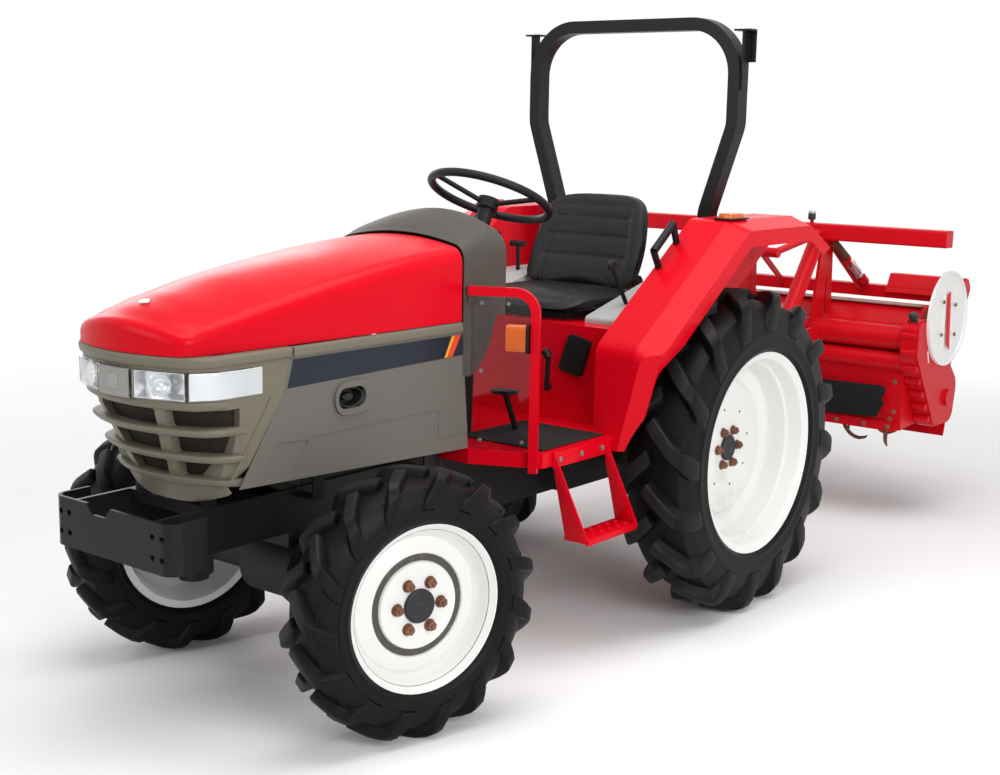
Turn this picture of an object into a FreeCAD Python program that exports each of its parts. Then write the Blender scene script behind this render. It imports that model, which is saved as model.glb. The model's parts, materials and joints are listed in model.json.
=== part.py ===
import FreeCAD, Part
import math
import os
import Sketcher

# Compact tractor with a rotary tiller carried raised on its three-point linkage.
# Everything is drawn from a point on the ground under the rear axle: X forward, Y to the left, Z up.
# Every sub-part is then shifted along X, so that the origin is at the middle of the whole
# machine's length.  Lengths are in millimetres and angles in degrees.

SIZES = [
    ("sheet", 4, "sheet metal thickness"),
    ("gap", 0.3, "running gap of fitted faces"),
    ("machine_rear", -1833, "rearmost point of the tiller"),
    # wheels
    ("wheelbase", 1468, "rear axle to king pins"),
    ("steer_angle", 15, "front wheels turned to the right as parked"),
    ("rear_track", 557, "middle plane to rear wheel centre"),
    ("rear_tip_radius", 527, "rear tyre over the lugs"),
    ("rear_tread_radius", 489, "rear tyre between the lugs"),
    ("rear_tyre_width", 236, "rear tyre over the side walls"),
    ("rear_bead_radius", 306, "rear rim at the bead seat"),
    ("rear_flange_radius", 331, "rear rim over the flanges"),
    ("rear_rim_width", 208, "rear rim over the flanges"),
    ("rear_lugs", 16, "lugs on each half of the rear tyre"),
    ("rear_lug_width", 40, "rear lug across its top"),
    ("rear_disc_in", 20, "rear disc face inward of the wheel centre"),
    ("rear_disc_radius", 236, "rear disc where it meets the rim"),
    ("front_pin_y", 403, "middle plane to king pin"),
    ("front_reach", 83, "king pin to front wheel centre"),
    ("front_tip_radius", 354, "front tyre over the lugs"),
    ("front_tread_radius", 326, "front tyre between the lugs"),
    ("front_tyre_width", 180, "front tyre over the side walls"),
    ("front_bead_radius", 203, "front rim at the bead seat"),
    ("front_flange_radius", 222, "front rim over the flanges"),
    ("front_rim_width", 152, "front rim over the flanges"),
    ("front_lugs", 15, "lugs on each half of the front tyre"),
    ("front_lug_width", 28, "front lug across its top"),
    ("front_disc_in", -38, "front disc face inward of the wheel centre"),
    ("front_disc_radius", 150, "front disc where it meets the rim"),
    ("tyre_sides", 20, "flat faces round a tyre"),
    ("lug_angle", 42, "lug slant from the axle direction"),
    ("rim_sheet", 7, "rim and disc thickness"),
    ("nut_radius", 11, "wheel nut"),
    ("nut_height", 18, "wheel nut over the disc"),
    ("nuts", 6, "nuts on each wheel"),
    ("rear_nut_circle", 62, "rear nut circle radius"),
    ("front_nut_circle", 66, "front nut circle radius"),
    # front end
    ("bumper_x", 2056, "front face of the front bracket"),
    ("bumper_half", 235, "half width of the front bracket"),
    ("bumper_low", 494, "bottom of the front bracket"),
    ("bumper_high", 622, "top of the front bracket"),
    ("bumper_plate", 9, "front bracket plate"),
    ("bumper_back", 110, "length of the bracket's bent sides"),
    ("bumper_hole", 8, "bracket hole radius"),
    ("rail_y", 160, "frame rail outer face"),
    ("rail_plate", 12, "frame rail thickness"),
    ("rail_low", 500, "frame rail bottom"),
    ("rail_high", 618, "frame rail top"),
    ("rail_rear", 1010, "frame rail rear end"),
    ("axle_beam_radius", 48, "front axle beam"),
    ("axle_z", 354, "front axle height"),
    ("pin_case_radius", 58, "king pin case"),
    ("trunnion_radius", 20, "king pin trunnion"),
    ("pin_fit", 0.05, "clearance round a turning pin"),
    # bonnet and grille
    ("bonnet_rear", 1022, "rear edge of the bonnet"),
    ("nose_x", 2030, "front of the bonnet on the middle plane"),
    ("nose_corner_x", 1975, "front corner of the bonnet"),
    ("nose_half", 212, "half width at the front corner"),
    ("hood_half", 247, "half width of the bonnet at the rear"),
    ("bonnet_sheet", 5, "bonnet thickness"),
    ("grille_high", 1012, "top of the grille frame"),
    ("grille_low", 622, "bottom of the grille frame"),
    ("grille_low_x", 1885, "front of the grille frame at the bottom"),
    ("grille_side_low", 657, "bottom of the grille frame at its sides"),
    ("grille_wall", 22, "grille frame thickness"),
    ("split_high_x", 1677, "grille and side panel split at the top"),
    ("split_mid_x", 1700, "grille and side panel split at its kink"),
    ("split_mid_z", 904, "height of the kink in the split"),
    ("split_low_x", 1851, "grille and side panel split at the bottom"),
    ("lip_out", 9, "grille bars proud of the frame"),
    ("lip_high", 22, "grille bar height"),
    ("lamp_low", 905, "lower edge of the lamps"),
    ("lamp_high", 975, "upper edge of the lamps"),
    ("panel_half", 246, "half width over the side panels"),
    ("panel_low_front", 676, "side panel bottom at the front"),
    ("panel_low_rear", 640, "side panel bottom at the rear"),
    ("panel_rear_low", 984, "side panel rear edge at the bottom"),
    ("panel_rear_high", 1020, "side panel rear edge at the top"),
    # driver's place
    ("cowl_high", 1318, "top of the cowl"),
    ("cowl_rear", 800, "rear edge of the cowl"),
    ("floor_z", 640, "top of the floor"),
    ("floor_half", 450, "half width of the floor"),
    ("floor_front", 990, "front edge of the floor"),
    ("corner_run", 96, "cut corner of the floor, along X"),
    ("corner_y", 250, "cut corner of the floor, inner end"),
    ("guard_high", 1114, "top of the guard bar"),
    ("guard_wide", 26, "guard bar width"),
    ("guard_thick", 18, "guard bar thickness"),
    ("deck_front", 470, "front wall of the seat deck"),
    ("deck_z", 950, "top of the seat deck"),
    ("skirt", 45, "floor skirt depth"),
    ("mat_thick", 6, "floor mat thickness"),
    ("step_z", 377, "step tread height"),
    ("wheel_x", 601, "steering wheel centre from the rear axle"),
    ("wheel_z", 1343, "steering wheel centre height"),
    ("wheel_radius", 190, "steering wheel rim centre line"),
    ("wheel_grip", 13, "steering wheel rim section radius"),
    ("column_tilt", 24.4, "steering column from the vertical"),
    ("fender_inner", 380, "fender inner wall"),
    ("fender_outer", 598, "fender outer edge"),
    ("fender_high", 1274, "fender top"),
    ("fender_front", 548, "fender front face"),
    ("fender_low", 592, "fender front bottom"),
    ("fender_rear", -548, "fender rear tip"),
    ("valance", 52, "fender outer lip depth"),
    ("ridge_y", 520, "fender crease over the wheel"),
    ("ridge_drop", 30, "fender outer edge below its crease"),
    ("leg_ridge_high", 553, "fender leg's crease at its top"),
    ("leg_ridge_low", 466, "fender leg's crease at its foot"),
    ("leg_outer_low", 510, "fender leg's outer edge at its foot"),
    ("leg_high", 905, "top of the fender's front leg"),
    ("bar_x", -180, "roll bar plane"),
    ("bar_top", 1927, "roll bar over the top"),
    ("bar_half", 433, "roll bar outer half width"),
    ("bar_deep", 60, "roll bar tube fore and aft"),
    ("bar_wide", 42, "roll bar tube across"),
    ("bar_corner", 190, "roll bar outer corner radius"),
    ("bar_bend_high", 353, "roll bar top down to its upper bends"),
    ("bar_bend_low", 644, "roll bar top down to its lower bends"),
    ("bar_foot", 337, "roll bar outer half width at the deck"),
    # linkage
    ("link_x", -90, "lower link pivot"),
    ("link_z", 395, "lower link pivot height"),
    ("hitch_x", -850, "lower hitch pins"),
    ("hitch_z", 640, "lower hitch pins height"),
    ("link_y", 190, "lower link pivots from the middle plane"),
    ("top_link_x", -330, "top link pivot"),
    ("top_link_z", 830, "top link pivot height"),
    ("mast_x", -900, "mast top pin"),
    ("mast_z", 1095, "mast top pin height"),
    ("arm_x", -230, "lift arm shaft"),
    ("arm_z", 860, "lift arm shaft height"),
    ("arm_y", 215, "lift arms from the middle plane"),
    ("arm_tip_x", -500, "lift arm tip"),
    ("arm_tip_z", 975, "lift arm tip height"),
    ("rod_foot", 0.6, "lift rod foot as a share of the lower link"),
    ("mast_bar_radius", 19, "mast top bar"),
    ("open_pivot", 7, "play where a closed linkage is left open"),
    ("joint_pin", 8, "drive shaft joint pins"),
    ("stub_x", -330, "drive stub"),
    ("stub_z", 520, "drive stub height"),
    # tiller
    ("tube_x", -1300, "tiller axle tube"),
    ("tube_z", 760, "tiller axle tube height"),
    ("tube_radius", 48, "tiller axle tube radius"),
    ("case_y", 650, "outer face of the chain case"),
    ("case_thick", 70, "chain case thickness"),
    ("rotor_x", -1560, "rotor axis"),
    ("rotor_z", 500, "rotor axis height"),
    ("tine_radius", 245, "rotor over the tines"),
    ("cover_radius", 275, "cover inside radius"),
    ("hood_high", 872, "top of the rotor hood"),
    ("rotor_half", 570, "half length of the rotor"),
    ("tine_stations", 8, "rows of tines along the rotor"),
    ("beam_x", -1390, "tiller top beam"),
    ("beam_z", 1187, "top of the tiller beam"),
    ("beam_deep", 66, "tiller beam section"),
    ("beam_half", 700, "half length of the tiller beam"),
    ("disc_x", -1500, "side disc centre"),
    ("disc_z", 830, "side disc centre height"),
    ("disc_radius", 190, "side disc"),
    ("flap_x", -1800, "rear cover hinge"),
    ("flap_z", 640, "rear cover hinge height"),
    ("flap_pin", 7, "rear cover hinge pin"),
]


class Size:
    """A number together with the spreadsheet formula that gives it."""

    def __init__(self, value, formula):
        self.value = value
        self.formula = formula

    def __add__(self, other):
        return Size(self.value + number(other), "(%s + %s)" % (self.formula, formula(other)))

    def __radd__(self, other):
        return Size(number(other) + self.value, "(%s + %s)" % (formula(other), self.formula))

    def __sub__(self, other):
        return Size(self.value - number(other), "(%s - %s)" % (self.formula, formula(other)))

    def __rsub__(self, other):
        return Size(number(other) - self.value, "(%s - %s)" % (formula(other), self.formula))

    def __mul__(self, other):
        return Size(self.value * number(other), "%s * %s" % (self.formula, formula(other)))

    def __rmul__(self, other):
        return Size(number(other) * self.value, "%s * %s" % (formula(other), self.formula))

    def __truediv__(self, other):
        return Size(self.value / number(other), "%s / %s" % (self.formula, formula(other)))

    def __rtruediv__(self, other):
        return Size(number(other) / self.value, "%s / %s" % (formula(other), self.formula))

    def __neg__(self):
        return Size(-self.value, "(-1 * %s)" % self.formula)


def number(value):
    return value.value if isinstance(value, Size) else value


def formula(value):
    return value.formula if isinstance(value, Size) else repr(value)


def root(value):
    """Square root of a size."""
    return Size(math.sqrt(number(value)), "sqrt(%s)" % formula(value))


def sine(angle):
    return Size(math.sin(math.radians(number(angle))), "sin(%s * 1 deg)" % formula(angle))


def cosine(angle):
    return Size(math.cos(math.radians(number(angle))), "cos(%s * 1 deg)" % formula(angle))


def vector(point):
    return FreeCAD.Vector(*[number(value) for value in point])


doc = FreeCAD.newDocument("CompactTractor")
sheet = doc.addObject("Spreadsheet::Sheet", "Sizes")
for row, (alias, value, note) in enumerate(SIZES, start=1):
    sheet.set("A%d" % row, note)
    sheet.set("B%d" % row, str(value))
    sheet.setAlias("B%d" % row, alias)
doc.recompute()


class Names:
    """Gives every alias of the sheet as a Size."""

    def __getattr__(self, alias):
        value = sheet.get(alias)
        return Size(int(value) if value == int(value) else value, "Sizes." + alias)


s = Names()


# ---------------------------------------------------------------- general shapes

def bind(obj, prop, value):
    """Sets a property and ties it to the sheet."""
    if not prop.startswith("Placement") and not prop.startswith("Attachment"):
        setattr(obj, prop, number(value))
    if isinstance(value, Size):
        obj.setExpression(prop, value.formula)


def place(obj, point, axis=(0, 0, 1), angle=0):
    """Places an object at a point, turned about an axis."""
    turn = FreeCAD.Rotation(FreeCAD.Vector(*axis), number(angle))
    obj.Placement = FreeCAD.Placement(vector(point), turn)
    for letter, value in zip("xyz", point):
        bind(obj, "Placement.Base." + letter, value)
    return obj


def box(name, x0, x1, y0, y1, z0, z1):
    """A block between two corners."""
    obj = doc.addObject("Part::Box", name)
    bind(obj, "Length", x1 - x0)
    bind(obj, "Width", y1 - y0)
    bind(obj, "Height", z1 - z0)
    return place(obj, (x0, y0, z0))


def bar(name, start, end, radius):
    """A round bar from one point to another."""
    obj = doc.addObject("Part::Cylinder", name)
    spans = [after - before for before, after in zip(start, end)]
    bind(obj, "Radius", radius)
    bind(obj, "Height", root(sum((span * span for span in spans), 0)))
    turn = FreeCAD.Rotation(FreeCAD.Vector(0, 0, 1), vector(spans))
    return place(obj, start, turn.Axis, math.degrees(turn.Angle))


def ring(name, centre, axis, major, minor):
    """A round ring about an axis."""
    obj = doc.addObject("Part::Torus", name)
    bind(obj, "Radius1", major)
    bind(obj, "Radius2", minor)
    turn = FreeCAD.Rotation(FreeCAD.Vector(0, 0, 1), vector(axis))
    return place(obj, centre, turn.Axis, math.degrees(turn.Angle))


def outline(sketch, corners, closed=True):
    """Draws edges through corner points: (u, v), (u, v, rounding radius) or (u, v, "bow").

    A bow is no corner: the edge between its neighbours is an arc through it.
    """
    nodes = [c for c in corners if len(c) < 3 or c[2] != "bow"]
    count = len(nodes)
    bows = {}
    for i, corner in enumerate(corners):
        if len(corner) > 2 and corner[2] == "bow":
            bows[nodes.index(corners[i - 1])] = corner
    points = [FreeCAD.Vector(number(c[0]), number(c[1]), 0) for c in nodes]
    radii = [number(c[2]) if len(c) > 2 else 0 for c in nodes]
    before = list(points)
    after = list(points)
    rounds = {}
    for i, point in enumerate(points):
        if radii[i] <= 0:
            continue
        inward = (point - points[i - 1]).normalize()
        outward = (points[(i + 1) % count] - point).normalize()
        turn = math.atan2(inward.x * outward.y - inward.y * outward.x, inward.dot(outward))
        reach = radii[i] * math.tan(abs(turn) / 2)
        before[i] = point - inward * reach
        after[i] = point + outward * reach
        side = 1 if turn > 0 else -1
        rounds[i] = before[i] + FreeCAD.Vector(-inward.y, inward.x, 0) * (side * radii[i])
    rules = []
    bound = []

    def fix(geometry, vertex, corner):
        for kind, value in (("DistanceX", corner[0]), ("DistanceY", corner[1])):
            rules.append(Sketcher.Constraint(kind, -1, 1, geometry, vertex, number(value)))
            bound.append((len(rules) - 1, value))

    edges = []
    for i in range(count if closed else count - 1):
        end = before[(i + 1) % count]
        if i not in bows:
            edges.append((sketch.addGeometry(Part.LineSegment(after[i], end)), 1, 2))
            continue
        middle = FreeCAD.Vector(number(bows[i][0]), number(bows[i][1]), 0)
        centre = Part.Arc(after[i], middle, end).toShape().Curve.Center
        geometry, first, last = add_arc(sketch, centre, after[i], middle, end)
        mark = sketch.addGeometry(Part.Point(middle), True)
        rules.append(Sketcher.Constraint("PointOnObject", mark, 1, geometry))
        fix(mark, 1, bows[i])
        edges.append((geometry, first, last))
    for i, corner in enumerate(nodes):
        into = edges[i - 1] if closed or i else None
        out = edges[i] if closed or i < count - 1 else None
        if i in rounds:
            middle = rounds[i] + (points[i] - rounds[i]).normalize() * radii[i]
            geometry, first, last = add_arc(sketch, rounds[i], before[i], middle, after[i])
            mark = sketch.addGeometry(Part.Point(points[i]), True)
            rules.append(Sketcher.Constraint("Tangent", into[0], into[2], geometry, first))
            rules.append(Sketcher.Constraint("Tangent", geometry, last, out[0], out[1]))
            rules.append(Sketcher.Constraint("PointOnObject", mark, 1, into[0]))
            rules.append(Sketcher.Constraint("PointOnObject", mark, 1, out[0]))
            rules.append(Sketcher.Constraint("Radius", geometry, radii[i]))
            bound.append((len(rules) - 1, corner[2]))
            fix(mark, 1, corner)
            continue
        if into and out:
            rules.append(Sketcher.Constraint("Coincident", into[0], into[2], out[0], out[1]))
        fix(*((out[0], out[1]) if out else (into[0], into[2])), corner)
    apply_rules(sketch, rules, bound)


def add_arc(sketch, centre, start, middle, end):
    """Adds an arc and says which of its two vertices is its start and which its end."""
    radius = (start - centre).Length
    forward = (middle - start).cross(end - middle).z > 0
    ends = (start, end) if forward else (end, start)
    angles = [math.atan2(p.y - centre.y, p.x - centre.x) for p in ends]
    round_edge = Part.Circle(centre, FreeCAD.Vector(0, 0, 1), radius)
    geometry = sketch.addGeometry(Part.ArcOfCircle(round_edge, angles[0], angles[1]))
    return (geometry, 1, 2) if forward else (geometry, 2, 1)


def apply_rules(sketch, rules, bound):
    """Adds constraints and ties the named ones to the sheet."""
    start = sketch.ConstraintCount
    sketch.addConstraint(rules)
    for index, value in bound:
        if isinstance(value, Size):
            sketch.setExpression("Constraints[%d]" % (start + index), value.formula)


def circle(sketch, u, v, radius):
    """Draws a circle, as a hole inside an outline or as a round outline."""
    shape = Part.Circle(FreeCAD.Vector(number(u), number(v), 0), FreeCAD.Vector(0, 0, 1), number(radius))
    index = sketch.addGeometry(shape)
    rules = [
        Sketcher.Constraint("DistanceX", -1, 1, index, 3, number(u)),
        Sketcher.Constraint("DistanceY", -1, 1, index, 3, number(v)),
        Sketcher.Constraint("Radius", index, number(radius)),
    ]
    apply_rules(sketch, rules, [(0, u), (1, v), (2, radius)])


def new_sketch(body, plane, offset=0, name="Outline"):
    """A sketch on one of the body's own planes: XY, XZ or YZ, moved along that plane's normal."""
    sketch = body.newObject("Sketcher::SketchObject", name)
    role = plane + "_Plane"
    support = [item for item in body.Origin.OriginFeatures if item.Role == role][0]
    sketch.AttachmentSupport = [(support, "")]
    sketch.MapMode = "FlatFace"
    sketch.AttachmentOffset = FreeCAD.Placement(FreeCAD.Vector(0, 0, number(offset)), FreeCAD.Rotation())
    bind(sketch, "AttachmentOffset.Base.z", offset)
    return sketch


def plate(name, plane, corners, start, thick, holes=(), closed=True):
    """A flat piece: an outline in a plane, from start along the axis that the plane lacks."""
    body = doc.addObject("PartDesign::Body", name)
    offset = -(start + thick) if plane == "XZ" else start
    sketch = new_sketch(body, plane, offset)
    outline(sketch, corners)
    for hole in holes:
        circle(sketch, *hole)
    pad = body.newObject("PartDesign::Pad", "Pad")
    pad.Profile = sketch
    bind(pad, "Length", thick)
    sketch.Visibility = False
    return body


def turned(name, corners, axis_point=(0, 0, 0)):
    """A turned piece about an axis along Y: each corner is (distance along Y, radius)."""
    body = doc.addObject("PartDesign::Body", name)
    sketch = new_sketch(body, "YZ")
    outline(sketch, corners)
    turn = body.newObject("PartDesign::Revolution", "Turn")
    turn.Profile = sketch
    turn.ReferenceAxis = (sketch, ["H_Axis"])
    turn.Angle = 360
    place(body, axis_point)
    return body


def fuse(name, pieces):
    obj = doc.addObject("Part::MultiFuse", name)
    obj.Shapes = pieces
    return obj


def cut(name, base, tools):
    """The base less one tool, or less several at once."""
    obj = doc.addObject("Part::Cut", name)
    obj.Base = base
    obj.Tool = tools[0] if len(tools) == 1 else fuse(name + "Tools", tools)
    return obj


def common(name, first, second):
    obj = doc.addObject("Part::Common", name)
    obj.Base = first
    obj.Tool = second
    return obj


def group(name, pieces):
    """Separate solids kept as one sub-part."""
    obj = doc.addObject("Part::Compound", name)
    obj.Links = pieces
    return obj


def mirrored(name, source):
    """The same piece on the other side of the middle plane."""
    obj = doc.addObject("Part::Mirroring", name)
    obj.Source = source
    obj.Base = (0, 0, 0)
    obj.Normal = (0, 1, 0)
    return obj


def both_sides(name, source):
    """A piece and its mirror image, fused where they meet."""
    return fuse(name, [source, mirrored(name + "Twin", source)])


def sweep(name, plane, path, section_plane, section_at, section):
    """A profile carried along a path; the profile's corners lie round the path's start."""
    body = doc.addObject("PartDesign::Body", name)
    spine = new_sketch(body, plane, 0, "Path")
    outline(spine, path, closed=False)
    profile = new_sketch(body, section_plane, section_at, "Section")
    outline(profile, section)
    pipe = body.newObject("PartDesign::AdditivePipe", "Pipe")
    pipe.Profile = profile
    pipe.Spine = (spine, [])
    return body


def copy_of(name, source, point, axis=(0, 0, 1), angle=0):
    """Another copy of a piece at another place."""
    holder = doc.addObject("Part::Compound", name)
    holder.Links = [source]
    return place(holder, point, axis, angle)


parts = {}


def sub_part(label, obj):
    """Registers a finished sub-part: its own holder, its label and its place in the part's frame."""
    holder = doc.addObject("Part::Compound", "Part_" + label)
    holder.Links = [obj]
    holder.Label = label
    place(holder, (-(s.bumper_x + s.machine_rear) / 2, 0, 0))
    parts[label] = holder
    return holder


# ---------------------------------------------------------------- wheels

def round_corners(radius, sides):
    """The corners of a regular outline: flat faces keep a tyre light."""
    angles = [2 * math.pi * (i + 0.5) / sides for i in range(sides)]
    return [(radius * round(math.cos(a), 6), radius * round(math.sin(a), 6)) for a in angles]


def round_loft(body, stations, sides):
    """A flat-faced turned form about the Y axis: each station is (distance along Y, radius)."""
    sections = []
    for along_y, radius in stations:
        sketch = new_sketch(body, "XZ", -along_y, "Section")
        outline(sketch, round_corners(radius, sides))
        sections.append(sketch)
    loft = body.newObject("PartDesign::AdditiveLoft", "Loft")
    loft.Profile = sections[0]
    loft.Sections = sections[1:]
    loft.Ruled = True
    return loft


def tyre(name, tip, tread, width, bead, flange, rim_width, lugs, lug_width):
    """A lugged tyre about the Y axis, its middle plane at Y = 0."""
    half = width / 2
    seat = rim_width / 2 - s.rim_sheet
    wall = tread - bead
    sides = int(number(s.tyre_sides))
    body = doc.addObject("PartDesign::Body", name + "Carcass")
    round_loft(body, [
        (-half, bead + wall * 0.45),
        (26 - half, tread),
        (half - 26, tread),
        (half, bead + wall * 0.45),
    ], sides)
    lug_pads = []
    for side in (1, -1):
        sketch = new_sketch(body, "YZ", 0, "Lug")
        reach = half / cosine(s.lug_angle)
        outline(sketch, [
            (side * -8, tread - 30),
            (side * (reach - 30), bead + wall * 0.45),
            (side * (reach + 1), bead + wall * 0.7),
            (side * (reach - 4), tip - 20),
            (side * -10, tip),
        ])
        roll = FreeCAD.Rotation(FreeCAD.Vector(1, 0, 0), side * 90 / number(lugs))
        slant = FreeCAD.Rotation(FreeCAD.Vector(0, 1, 0), side * -number(s.lug_angle))
        sketch.AttachmentOffset = FreeCAD.Placement(FreeCAD.Vector(), roll * slant)
        pad = body.newObject("PartDesign::Pad", "LugPad")
        pad.Profile = sketch
        bind(pad, "Length", lug_width)
        pad.Midplane = True
        lug_pads.append(pad)
    ring_of = body.newObject("PartDesign::PolarPattern", "Lugs")
    ring_of.Originals = lug_pads
    axis = [item for item in body.Origin.OriginFeatures if item.Role == "Y_Axis"][0]
    ring_of.Axis = (axis, [""])
    ring_of.Angle = 360
    bind(ring_of, "Occurrences", lugs)
    body.Tip = ring_of
    inside = []
    flat = round(math.cos(math.pi / sides), 6)
    for word, stations in (
        ("Bore", [(-seat - 2, (bead + s.gap) / flat), (seat + 2, (bead + s.gap) / flat)]),
        ("WallLeft", [(seat, (flange + 1) / flat), (half + 1, bead + wall * 0.43)]),
        ("WallRight", [(-half - 1, bead + wall * 0.43), (-seat, (flange + 1) / flat)]),
    ):
        tool = doc.addObject("PartDesign::Body", name + word)
        round_loft(tool, stations, sides)
        inside.append(tool)
    return cut(name, body, inside)


def rim(name, bead, flange, rim_width, disc_in, disc_radius, disc_edge, centre_radius, nut_circle):
    """A wheel rim with its dished disc, its outer side toward +Y."""
    seat = rim_width / 2
    thick = s.rim_sheet
    barrel = turned(name + "Barrel", [
        (-seat, flange),
        (-seat, bead - thick),
        (-seat * 0.45, bead - thick),
        (-seat * 0.3, bead - 3 * thick),
        (seat * 0.3, bead - 3 * thick),
        (seat * 0.45, bead - thick),
        (seat, bead - thick),
        (seat, flange),
        (seat - thick, flange),
        (seat - thick, bead),
        (seat * 0.45 - thick, bead),
        (seat * 0.3 - thick, bead - 2 * thick),
        (thick - seat * 0.3, bead - 2 * thick),
        (thick - seat * 0.45, bead),
        (thick - seat, bead),
        (thick - seat, flange),
    ])
    face = -disc_in
    disc = turned(name + "Disc", [
        (face, 0),
        (face, disc_radius - 20),
        (face - 26, disc_radius),
        (face - 26, disc_edge),
        (face - 26 - thick, disc_edge),
        (face - 26 - thick, disc_radius - thick / 2),
        (face - thick, disc_radius - 26),
        (face - thick, 0),
    ])
    hub = turned(name + "Hub", [
        (face - thick, 0),
        (face + 14, 0),
        (face + 14, centre_radius - 6),
        (face + 8, centre_radius),
        (face - thick, centre_radius),
    ])
    nut = turned(name + "Nut", [
        (face - 1, 0),
        (face + s.nut_height, 0),
        (face + s.nut_height, s.nut_radius),
        (face - 1, s.nut_radius),
    ])
    nuts = []
    for i in range(int(number(s.nuts))):
        angle = 360 / s.nuts * i + 90
        nuts.append(copy_of("%sNut%d" % (name, i), nut, (nut_circle * cosine(angle), 0, nut_circle * sine(angle))))
    return fuse(name, [barrel, disc, hub] + nuts)


def steered(name, source, side):
    """Turns a piece of a front wheel or knuckle about its king pin to the parked angle."""
    return copy_of(name, source, (s.wheelbase, s.front_pin_y * side, 0), (0, 0, 1), -s.steer_angle)


rear_tyre = tyre("RearTyre", s.rear_tip_radius, s.rear_tread_radius, s.rear_tyre_width,
                 s.rear_bead_radius, s.rear_flange_radius, s.rear_rim_width, s.rear_lugs, s.rear_lug_width)
front_tyre = tyre("FrontTyre", s.front_tip_radius, s.front_tread_radius, s.front_tyre_width,
                  s.front_bead_radius, s.front_flange_radius, s.front_rim_width, s.front_lugs, s.front_lug_width)
rear_rim = rim("RearRim", s.rear_bead_radius, s.rear_flange_radius, s.rear_rim_width,
               s.rear_disc_in, s.rear_disc_radius, s.rear_bead_radius - s.rim_sheet / 2, 44, s.rear_nut_circle)
front_rim = rim("FrontRim", s.front_bead_radius, s.front_flange_radius, s.front_rim_width,
                s.front_disc_in, s.front_disc_radius, s.front_bead_radius - 2.5 * s.rim_sheet, 40, s.front_nut_circle)
rear_tyre_right = mirrored("RearTyreRight", rear_tyre)
front_tyre_right = mirrored("FrontTyreRight", front_tyre)
rear_rim_right = mirrored("RearRimRight", rear_rim)
front_rim_right = mirrored("FrontRimRight", front_rim)

# king pin case and steering arm, drawn about the king pin
pin_case = fuse("PinCase", [
    bar("PinTube", (0, 0, s.axle_z - 110), (0, 0, s.axle_z + 105), s.pin_case_radius),
    bar("PinCap", (0, 0, s.axle_z + 105), (0, 0, s.axle_z + 128), s.pin_case_radius - 18),
    bar("Trunnion", (0, 0, s.axle_z + 128), (0, 0, s.axle_z + 166), s.trunnion_radius),
    bar("PinFoot", (0, 0, s.axle_z - 128), (0, 0, s.axle_z - 110), s.pin_case_radius - 14),
    bar("HubTube", (0, 0, s.axle_z), (0, s.front_reach - s.front_disc_in - s.rim_sheet - s.gap, s.axle_z), 46),
])
steering_arm = fuse("SteeringArm", [
    box("ArmBar", -160, 0, -16, 16, s.axle_z + 20, s.axle_z + 40),
    bar("ArmEye", (-160, 0, s.axle_z + 20), (-160, 0, s.axle_z + 40), 20),
])
knuckle = fuse("Knuckle", [pin_case, steering_arm])
knuckle_right = mirrored("KnuckleRight", knuckle)

for side, word in ((1, "left"), (-1, "right")):
    rear = (0, s.rear_track * side, s.rear_tip_radius)
    front = (0, s.front_reach * side, s.axle_z)
    title = word.capitalize()
    rear_pair = (rear_tyre, rear_rim) if side > 0 else (rear_tyre_right, rear_rim_right)
    front_pair = (front_tyre, front_rim) if side > 0 else (front_tyre_right, front_rim_right)
    sub_part("rear_tyre_" + word, copy_of("RearTyre" + title, rear_pair[0], rear))
    sub_part("rear_rim_" + word, copy_of("RearRim" + title, rear_pair[1], rear))
    for label, piece in zip(("front_tyre_", "front_rim_"), front_pair):
        straight = copy_of(label + word + "Straight", piece, front)
        sub_part(label + word, steered(label + word + "Steered", straight, side))
    sub_part("knuckle_" + word, steered("Knuckle" + title, knuckle if side > 0 else knuckle_right, side))

# the tie rod joins the two steering arms' eyes and stays across the machine
arm_eye_x = s.wheelbase - 160 * cosine(s.steer_angle)
arm_eye_shift = 160 * sine(s.steer_angle)
rod_z = s.axle_z + 52
tie_rod = fuse("TieRod", [
    bar("TieBar", (arm_eye_x, arm_eye_shift - s.front_pin_y, rod_z), (arm_eye_x, arm_eye_shift + s.front_pin_y, rod_z), 11),
    bar("TieEyeLeft", (arm_eye_x, arm_eye_shift + s.front_pin_y, rod_z - 11.7), (arm_eye_x, arm_eye_shift + s.front_pin_y, rod_z + 14), 17),
    bar("TieEyeRight", (arm_eye_x, arm_eye_shift - s.front_pin_y, rod_z - 11.7), (arm_eye_x, arm_eye_shift - s.front_pin_y, rod_z + 14), 17),
])
sub_part("tie_rod", tie_rod)

# ---------------------------------------------------------------- chassis

engine = box("Engine", 1120, 1560, -150, 150, s.rail_high, 960)
sub_part("engine_block", engine)

rail = plate("Rail", "XZ", [
    (s.rail_rear, s.rail_low),
    (s.bumper_x - s.bumper_back, s.rail_low),
    (s.bumper_x - s.bumper_plate, s.bumper_low + 4),
    (s.bumper_x - s.bumper_plate, s.bumper_high - 4),
    (s.bumper_x - s.bumper_back, s.rail_high),
    (s.rail_rear, s.rail_high),
], s.rail_y - s.rail_plate, s.rail_plate)
frame_cross = box("FrameCross", s.wheelbase - 90, s.wheelbase + 90, s.rail_plate - s.rail_y, s.rail_y - s.rail_plate, s.rail_low, s.rail_low + 25)
frame_front = box("FrameFront", 1700, 1880, s.rail_plate - s.rail_y, s.rail_y - s.rail_plate, s.rail_high - 30, s.rail_high)
foot_slope = (s.grille_side_low - s.grille_low) / (s.grille_low_x - s.split_low_x + 5)
grille_foot = plate("GrilleFoot", "XZ", [
    (s.split_low_x - 9, s.rail_high - 10),
    (s.split_low_x + 11, s.rail_high - 10),
    (s.split_low_x + 11, s.grille_side_low - foot_slope * 26 - s.gap),
    (s.split_low_x - 9, s.grille_side_low - foot_slope * 6 - s.gap),
], 108, s.rail_y - s.rail_plate - 108)
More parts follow.
